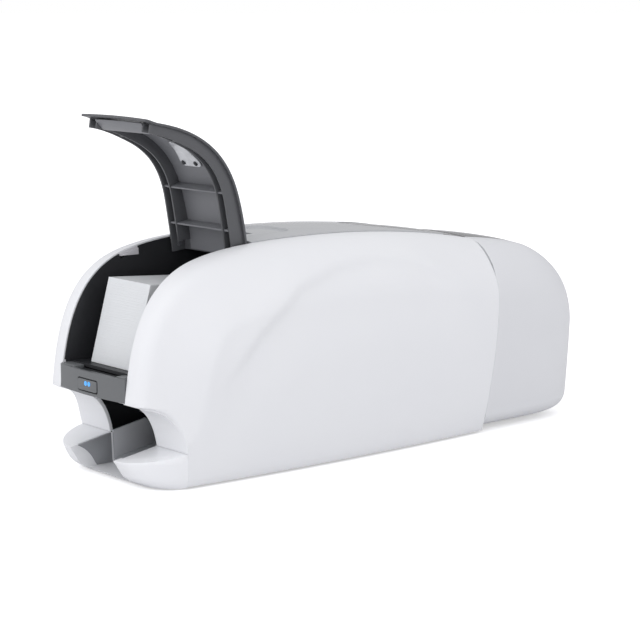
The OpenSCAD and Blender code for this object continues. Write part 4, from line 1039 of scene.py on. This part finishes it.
# Window plate: its sides at the rear, its ends along the rim and its real length; the middle of
# its front, the share of the width that it has there, and the share of the length over which it
# widens; the radius of its corners, its depth and its thickness
WINDOW_LEFT, WINDOW_RIGHT = -12.5, 12.0
WINDOW_FRONT, WINDOW_BACK, WINDOW_LENGTH = 0.615, 0.84, 26.505
WINDOW_TIP_X, WINDOW_TIP_SHARE, WINDOW_WIDENS = -0.5, 0.45, 0.8
WINDOW_CORNER, WINDOW_DEPTH, WINDOW_T = 3.5, LID_T + 0.4, 0.9
# Its screws: their places across, their place along the rim, and their heads
SCREW_PLACES, SCREW_S, SCREW_DEPTH = (-8.5, 6.6), 0.812, LID_T + 1.6
SCREW_R, SCREW_H = 1.9, 1.2


def window_place(u, v):
    """Plate that narrows towards the front, with its four corners drawn in."""
    x, y = mix(WINDOW_LEFT, WINDOW_RIGHT, u), mix(0, WINDOW_LENGTH, v)
    middle = (WINDOW_LEFT + WINDOW_RIGHT) / 2
    line = mix(WINDOW_TIP_X, middle, v)
    x = line + (x - middle) * mix(WINDOW_TIP_SHARE, 1, clamp01(v / WINDOW_WIDENS))
    from_end = min(y, WINDOW_LENGTH - y)
    if from_end < WINDOW_CORNER:
        pull = WINDOW_CORNER - math.sqrt(WINDOW_CORNER**2 - (WINDOW_CORNER - from_end) ** 2)
        x = line + (x - line) * (1 - pull / ((WINDOW_RIGHT - WINDOW_LEFT) / 2))
    return (x, *rim_in(mix(WINDOW_FRONT, WINDOW_BACK, v), WINDOW_DEPTH))


def make_lid_window():
    """Clear plate with rounded ends, held by two screws inside the lid."""
    window = sheet("lid_window_plate", 16, 40, window_place)
    apply_modifier(window, "SOLIDIFY", thickness=WINDOW_T * MM, offset=-1)
    round_edges(window, 0.25)
    swing_open(window)
    dress(window, WINDOW_REFLECTION_PC, "hopper_lid", ["lid_window"])
    (y, z), (dy, dz) = rim_in(SCREW_S, SCREW_DEPTH), rim_dir(SCREW_S)
    turn = Vector((0, dz, -dy)).to_track_quat("Z", "X")
    heads = []
    for x in SCREW_PLACES:
        bpy.ops.mesh.primitive_cylinder_add(vertices=28, radius=SCREW_R * MM, depth=SCREW_H * MM)
        head = bpy.context.object
        for v in head.data.vertices:
            v.co = turn @ v.co + Vector((x, y, z)) * MM
        round_edges(head, 0.3)
        heads.append(head)
    screws = join("lid_window_screw_heads", *heads)
    swing_open(screws)
    dress(screws, DARK_SCREW, "hopper_lid", ["lid_window_screws"])


# Clips: where they hang along the rim, their lower end, and their two layers, each with its
# inner face, its outer face and its depth
CATCH_FRONT, CATCH_BACK = 0.935, 1.09
CATCH_FOOT = [(-151.5, 159.0), (-168.3, 159.1)]
CATCH_LAYERS = ((40.6, 41.5, LID_T + 0.5), (41.4, 42.3, 0.6))


def make_lid_catches():
    """Clips in both rims: a tongue hangs below the closed lid's edge."""
    clips = []
    for side_x in (-1, 1):
        for near, far, depth in CATCH_LAYERS:
            x0, x1 = sorted((side_x * near, side_x * far))
            outline = [rim_in(CATCH_FRONT, depth), rim_in(CATCH_BACK, depth), *CATCH_FOOT]
            clips.append(across("catch", outline, x0, x1))
            round_edges(clips[-1], 0.2)
    tongues = join("lid_catch_tongues", *clips)
    dress(tongues, CLIP_ACETAL, "chassis", ["lid_catches"])


# ---- front bezel with its button ----
BEZEL_HALF = 42.2
BEZEL_LOW, BEZEL_HIGH = 65.5, 83.0
BEZEL_FRONT = NOSE - 2.6
# How far the bezel's ends lie behind its middle
BEZEL_BOW = 3.4
BEZEL_T = 2.4
BUTTON_X, BUTTON_Z = -1.4, 72.7
BUTTON_W, BUTTON_H = 24.2, 8.4
# How much wider and higher the button's opening is than the button
BUTTON_GAP_W, BUTTON_GAP_H = 2.0, 1.8
# Shelf behind the bezel's top edge: (from, to, rise above the edge, reach behind the front)
BEZEL_SHELVES = ((-41, -23, 0.9, 11.8), (-23, 1, -0.4, 3.2), (1, 31, 0.3, 3.2), (31, 41, 0.9, 11.8))
SHELF_HALF, SHELF_BACK = 41, NOSE + 9.2
# Black plate behind the button's opening: half its width and half its height
RECESS_HALF_W, RECESS_HALF_H = 14, 6
# Where that plate ends and the shelves behind it start
RECESS_BACK = BEZEL_FRONT + 3.4
# Status lights: their places across, how high above the button's middle, and their size
LIGHT_PLACES, LIGHT_RISE = (-3.1, 1.2), 1.3
LIGHT_SIZE, LIGHT_CORNER = 3.4, 1.4
CORNER_STEPS = 8


def bezel_y(x):
    """Front of the bowed bezel at a place across."""
    return BEZEL_FRONT + BEZEL_BOW * (x / BEZEL_HALF) ** 2


def rounded_plate(name, width, height, corner, y0, y1, place):
    """Plate facing the front with round corners; place gives its middle as (x, z)."""
    points = []
    for k, (sx, sz) in enumerate(((1, 1), (-1, 1), (-1, -1), (1, -1))):
        for i in range(CORNER_STEPS + 1):
            a = math.pi / 2 * (k + i / CORNER_STEPS)
            points.append((sx * (width / 2 - corner) + corner * math.cos(a),
                           sz * (height / 2 - corner) + corner * math.sin(a)))
    return prism(name, [(place[0] + x, y0, place[1] + z) for x, z in points], (0, y1 - y0, 0))


def make_bezel():
    def face(u, v):
        x = mix(-BEZEL_HALF, BEZEL_HALF, u)
        return x, bezel_y(x), mix(BEZEL_LOW, BEZEL_HIGH, v)

    front = sheet("bezel_face", 60, 12, face)
    apply_modifier(front, "SOLIDIFY", thickness=BEZEL_T * MM, offset=-1)
    weld(front)
    cut(front, rounded_plate("button_hole", BUTTON_W + BUTTON_GAP_W, BUTTON_H + BUTTON_GAP_H, 1.9,
                             BEZEL_FRONT - 4, BEZEL_FRONT + 8, (BUTTON_X, BUTTON_Z)))
    round_edges(front, 0.4, 3)
    parts = [front]
    for x0, x1, rise, reach in BEZEL_SHELVES:
        shelf = box("bezel_shelf", (x0, bezel_y((x0 + x1) / 2) + 1.2, BEZEL_HIGH - 3),
                    (x1, BEZEL_FRONT + reach, BEZEL_HIGH + rise))
        round_edges(shelf, 0.4)
        parts.append(shelf)
    parts.append(box("bezel_low_shelf", (-SHELF_HALF, RECESS_BACK, BEZEL_LOW),
                     (SHELF_HALF, SHELF_BACK, BEZEL_LOW + 2)))
    dress(join("bezel_moulding", *parts), BEZEL_ABS, "chassis", ["front_bezel"])


def make_button_recess():
    """Black back of the button's opening, and the black shelf over the board behind it."""
    back = box("button_recess",
               (BUTTON_X - RECESS_HALF_W, RECESS_BACK - 0.8, BUTTON_Z - RECESS_HALF_H),
               (BUTTON_X + RECESS_HALF_W, RECESS_BACK, BUTTON_Z + RECESS_HALF_H))
    shelf = box("bezel_inner_shelf", (-23, RECESS_BACK, BEZEL_HIGH - 4.2),
                (31, SHELF_BACK, BEZEL_HIGH - 1.4))
    dress(join("button_recess", back, shelf), INNER_ABS, "chassis")


def make_status_button():
    cap = rounded_plate("status_button_cap", BUTTON_W, BUTTON_H, 1.5, BEZEL_FRONT - 0.35, NOSE + 4,
                        (BUTTON_X, BUTTON_Z))
    round_edges(cap, 0.35, 3)
    dress(cap, BEZEL_ABS, "status_button", ["status_button"])
    lights = []
    for x in LIGHT_PLACES:
        light = rounded_plate("light", LIGHT_SIZE, LIGHT_SIZE, LIGHT_CORNER, BEZEL_FRONT - 0.5,
                              BEZEL_FRONT + 1, (x, BUTTON_Z + LIGHT_RISE))
        round_edges(light, 0.12)
        lights.append(light)
    lenses = join("status_light_lenses", *lights)
    dress(lenses, LED_LENS, "status_button", ["status_light"])


# ---- card tray ----
TRAY_HALF = 61.0
TRAY_FRONT, TRAY_BACK = NOSE - 1, NOSE + 40
TRAY_Z = 1.2
# Radius of the tray's front corners at its top and near the floor, and the fall between them
TRAY_CORNERS, TRAY_CORNER_FALL = (33, 42), 20
TRAY_GAP = 0.2
# More than the tray's sides spread at the rear
TRAY_SPREAD = 14
# Where the tray's rear edge reaches below the casing
TRAY_REACH = TRAY_BACK + 4
TROUGH_FLOOR = 4.6
TROUGH_HALF = 28.5
# Front of the tray from the top edge down, as (distance behind the front, height)
TRAY_NOSE = [(0, 34), (0, 21.5), (0.6, 20.4), (2.1, 18.2), (3.5, 15.9), (5.9, 12.2), (7.8, 9.4),
             (10.6, 6.9), (14.5, 4.2), (20, TRAY_Z), (21.5, 0.4)]
# Front edge of the grey lining: an S that runs down and back
LINING_FRONT = [(NOSE + 6.1, 21.9), (NOSE + 12.2, 18.1), (NOSE + 17.4, 12.8), (NOSE + 20.9, 6.9),
                (NOSE + 22.5, 4.7)]
LINING_STEPS = 16
LINING_W = 1.9
# Lower and upper rear corner of the lining
LINING_REAR = [(TRAY_BACK - 3.4, TROUGH_FLOOR + 0.1), (NOSE + 35.6, 27.5)]
# Tray seen from the side
TRAY_SIDE_VIEW = [(TRAY_FRONT - 1, 21.3), (NOSE + 36.7, 27.9), (TRAY_BACK + 0.8, TRAY_Z),
                  (TRAY_FRONT - 1, TRAY_Z)]
# Side view of the bead that closes the rear of a trough's side, and the two beads' places
BEAD = [(TRAY_BACK - 3.4, TROUGH_FLOOR - 0.5), (NOSE + 35.6, 27.4), (NOSE + 36.7, 27.5),
        (TRAY_BACK - 2.2, TROUGH_FLOOR - 0.5)]
BEAD_PLACES, BEAD_W = (EXIT_HALF - 2.1, -EXIT_HALF - 0.2), 2.3
TONGUE_PLACES, TONGUE_W, TONGUE_LOW, TONGUE_HIGH = (46, -52), 6, 5.3, 9.3
# Shares of half a ring at which its straight side and its round corner end
RING_STRAIGHT, RING_CORNER = 0.15, 0.7
# Share of the tray's height at which the upright edge at its top ends
RING_LIP = 0.04
# Share of the tray's sheet that each of its top and its floor takes
TRAY_LID_SHARE = 0.05


def along(points, t):
    """Smooth curve through points, 0 at the first and 1 at the last."""
    t = clamp01(t) * (len(points) - 1)
    k = min(len(points) - 2, int(t))
    p0, p1, p2, p3 = (points[max(0, min(len(points) - 1, k + n))] for n in (-1, 0, 1, 2))
    t -= k
    return tuple(0.5 * (2 * b + (c - a) * t + (2 * a - 5 * b + 4 * c - d) * t**2
                        + (3 * b - a - 3 * c + d) * t**3)
                 for a, b, c, d in zip(p0, p1, p2, p3))


def lining_front():
    """Curve of the lining's front edge."""
    return [along(LINING_FRONT, k / LINING_STEPS) for k in range(LINING_STEPS + 1)]


def tray_ring(u, v):
    """Outline of the tray at one level, from the rear right round the front to the rear left."""
    curve = (v - RING_LIP) / (1 - RING_LIP)
    inset, z = TRAY_NOSE[0] if v == 0 else along(TRAY_NOSE[1:], curve)
    radius = mix(*TRAY_CORNERS, clamp01((TRAY_NOSE[1][1] - z) / TRAY_CORNER_FALL))
    # At the rear the sides spread until they are flush with the casing
    flush = side(TRAY_BACK, min(z, CUTOUT[-1][1])) - TRAY_GAP - TRAY_HALF
    side_x = 1 if u < 0.5 else -1
    u = min(u, 1 - u) * 2
    if u < RING_STRAIGHT:
        y = mix(TRAY_REACH, TRAY_FRONT + math.hypot(radius, inset), u / RING_STRAIGHT)
        return side_x * (TRAY_HALF + flush), y, z
    if u < RING_CORNER:
        t = (u - RING_STRAIGHT) / (RING_CORNER - RING_STRAIGHT)
        a = math.pi / 2 * (1 - t)
        return (side_x * (TRAY_HALF - radius * (1 - math.sin(a)) + flush * (1 - t) ** 2),
                TRAY_FRONT + math.hypot(radius * (1 - math.cos(a)), inset), z)
    inward = 1 - (u - RING_CORNER) / (1 - RING_CORNER)
    return side_x * (TRAY_HALF - radius) * inward, TRAY_FRONT + inset, z


def tray_skin(u, v):
    """Tray's outside with its top and floor, which run to the middle of the rear."""
    share, hair = TRAY_LID_SHARE, 0.001
    if v < share + hair:
        x, y, z = tray_ring(u, 0)
        return x * v / share, mix(TRAY_REACH, y, v / share), z
    if v > 1 - share - hair:
        x, y, z = tray_ring(u, 1)
        return x * (1 - v) / share, mix(y, TRAY_REACH, (v - (1 - share)) / share), z
    return tray_ring(u, (v - share) / (1 - 2 * share))


def make_tray():
    block = sheet("tray_moulding", 120, 60, tray_skin)
    edit(block,
         (bpy.ops.mesh.remove_doubles, {"threshold": 0.001 * MM}),
         (bpy.ops.mesh.fill_holes, {"sides": 0}),
         (bpy.ops.mesh.select_all, {"action": "SELECT"}),
         (bpy.ops.mesh.normals_make_consistent, {"inside": False}))
    body = across("tray_side_view", TRAY_SIDE_VIEW, -TRAY_HALF - TRAY_SPREAD,
                  TRAY_HALF + TRAY_SPREAD)
    apply_modifier(block, "BOOLEAN", operation="INTERSECT", solver="EXACT", object=body)
    bpy.data.objects.remove(body)
    # The trough behind the lining's front edge, then the mouth that leads out of the front
    trough = [(y - 0.1, z) for y, z in lining_front()[:-1]]
    trough += [(NOSE + 22.4, TROUGH_FLOOR), (NOSE + 46, TROUGH_FLOOR), (NOSE + 46, 40),
               (NOSE + 6.0, 40)]
    cut(block, across("trough", trough, -EXIT_HALF, EXIT_HALF),
        box("mouth", (-TROUGH_HALF, TRAY_FRONT - 3, TROUGH_FLOOR), (TROUGH_HALF, NOSE + 40, 40)))
    weld(block, 0.03)
    round_edges(block, 0.8, 4, 32)
    tongues = [box("tongue", (x, TRAY_BACK - 1, TONGUE_LOW),
                   (x + TONGUE_W, TRAY_BACK + 23, TONGUE_HIGH)) for x in TONGUE_PLACES]
    beads = [across("bead", BEAD, x, x + BEAD_W) for x in BEAD_PLACES]
    tray = join("tray_moulding", block, *tongues, *beads)
    dress(tray, TRAY_LIT_ABS, "card_tray", ["card_tray"], smooth=40)


def make_tray_lining():
    outline = lining_front() + LINING_REAR
    sides = [across("lining", outline, x, x + LINING_W) for x in (EXIT_HALF - LINING_W, -EXIT_HALF)]
    lining = join("tray_side_lining", *sides)
    round_edges(lining, 0.2)
    dress(lining, LINING_ABS, "card_tray", ["tray_liner"])


# ---- exit chute ----
CHUTE_FRONT, CHUTE_BACK = NOSE + 37.4, -146.0
CHUTE_WALL = 2
CHUTE_FLOOR = [(CHUTE_FRONT, 5.2), (CHUTE_BACK, 12.8), (CHUTE_BACK, 14.8), (CHUTE_FRONT, 7.2)]
CHUTE_SIDE = [(CHUTE_FRONT, 6.2), (CHUTE_BACK, 13.8), (CHUTE_BACK, 30), (CHUTE_BACK - 10, 34.8),
              (CHUTE_FRONT, 29)]


def make_chute():
    parts = [across("chute_floor", CHUTE_FLOOR, -EXIT_HALF, EXIT_HALF)]
    parts += [across("chute_side", CHUTE_SIDE, x, x + CHUTE_WALL)
              for x in (EXIT_HALF - CHUTE_WALL, -EXIT_HALF)]
    parts += [box("chute_foot", (x, CHUTE_BACK - 4, 5), (x + 3, CHUTE_BACK, 13)) for x in (-20, 20)]
    chute = join("chute_moulding", *parts)
    round_edges(chute, 0.35)
    dress(chute, CHUTE_LIT_ABS, "chassis", ["exit_chute"])


# ---- card stack ----
CARD_W, CARD_L = 53.98, 85.6
CARD_COUNT = 81
# A card is this share of the pitch thick, which leaves a hairline between cards
CARD_SHARE = 0.99
# Two waves by which the cards are out of line: how far, and how fast they go up the stack
SHIFT_WAVES = ((0.05, 2.4), (0.03, 5.1))
STACK_Y, STACK_Z, STACK_H, STACK_LEAN = NOSE + 18, 84.5, 62.0, 17.0
CARD_SLOPE = math.radians(3.6)


def make_cards():
    """Stack of separate cards, each a hair out of line with the next."""
    thick = STACK_H / CARD_COUNT * CARD_SHARE
    run, fall = CARD_L * math.cos(CARD_SLOPE), -CARD_L * math.sin(CARD_SLOPE)
    cards = []
    for k in range(CARD_COUNT):
        up = STACK_H * k / CARD_COUNT
        shift = sum(far * math.sin(k * fast) for far, fast in SHIFT_WAVES)
        y, z = STACK_Y + STACK_LEAN * up / STACK_H + shift, STACK_Z + up
        outline = [(y, z), (y + run, z + fall), (y + run, z + fall + thick), (y, z + thick)]
        cards.append(across("card", outline, -CARD_W / 2 + shift * 0.5, CARD_W / 2 + shift * 0.5))
    stack = join("blank_cards", *cards)
    dress(stack, CARD_PVC, "chassis", ["card_stack"])


make_casing()
make_rear_housing()
make_top_cover()
make_release_button()
make_rear_insert()
make_lid()
make_lid_window()
make_lid_catches()
make_bezel()
make_button_recess()
make_status_button()
make_tray()
make_tray_lining()
make_chute()
make_cards()
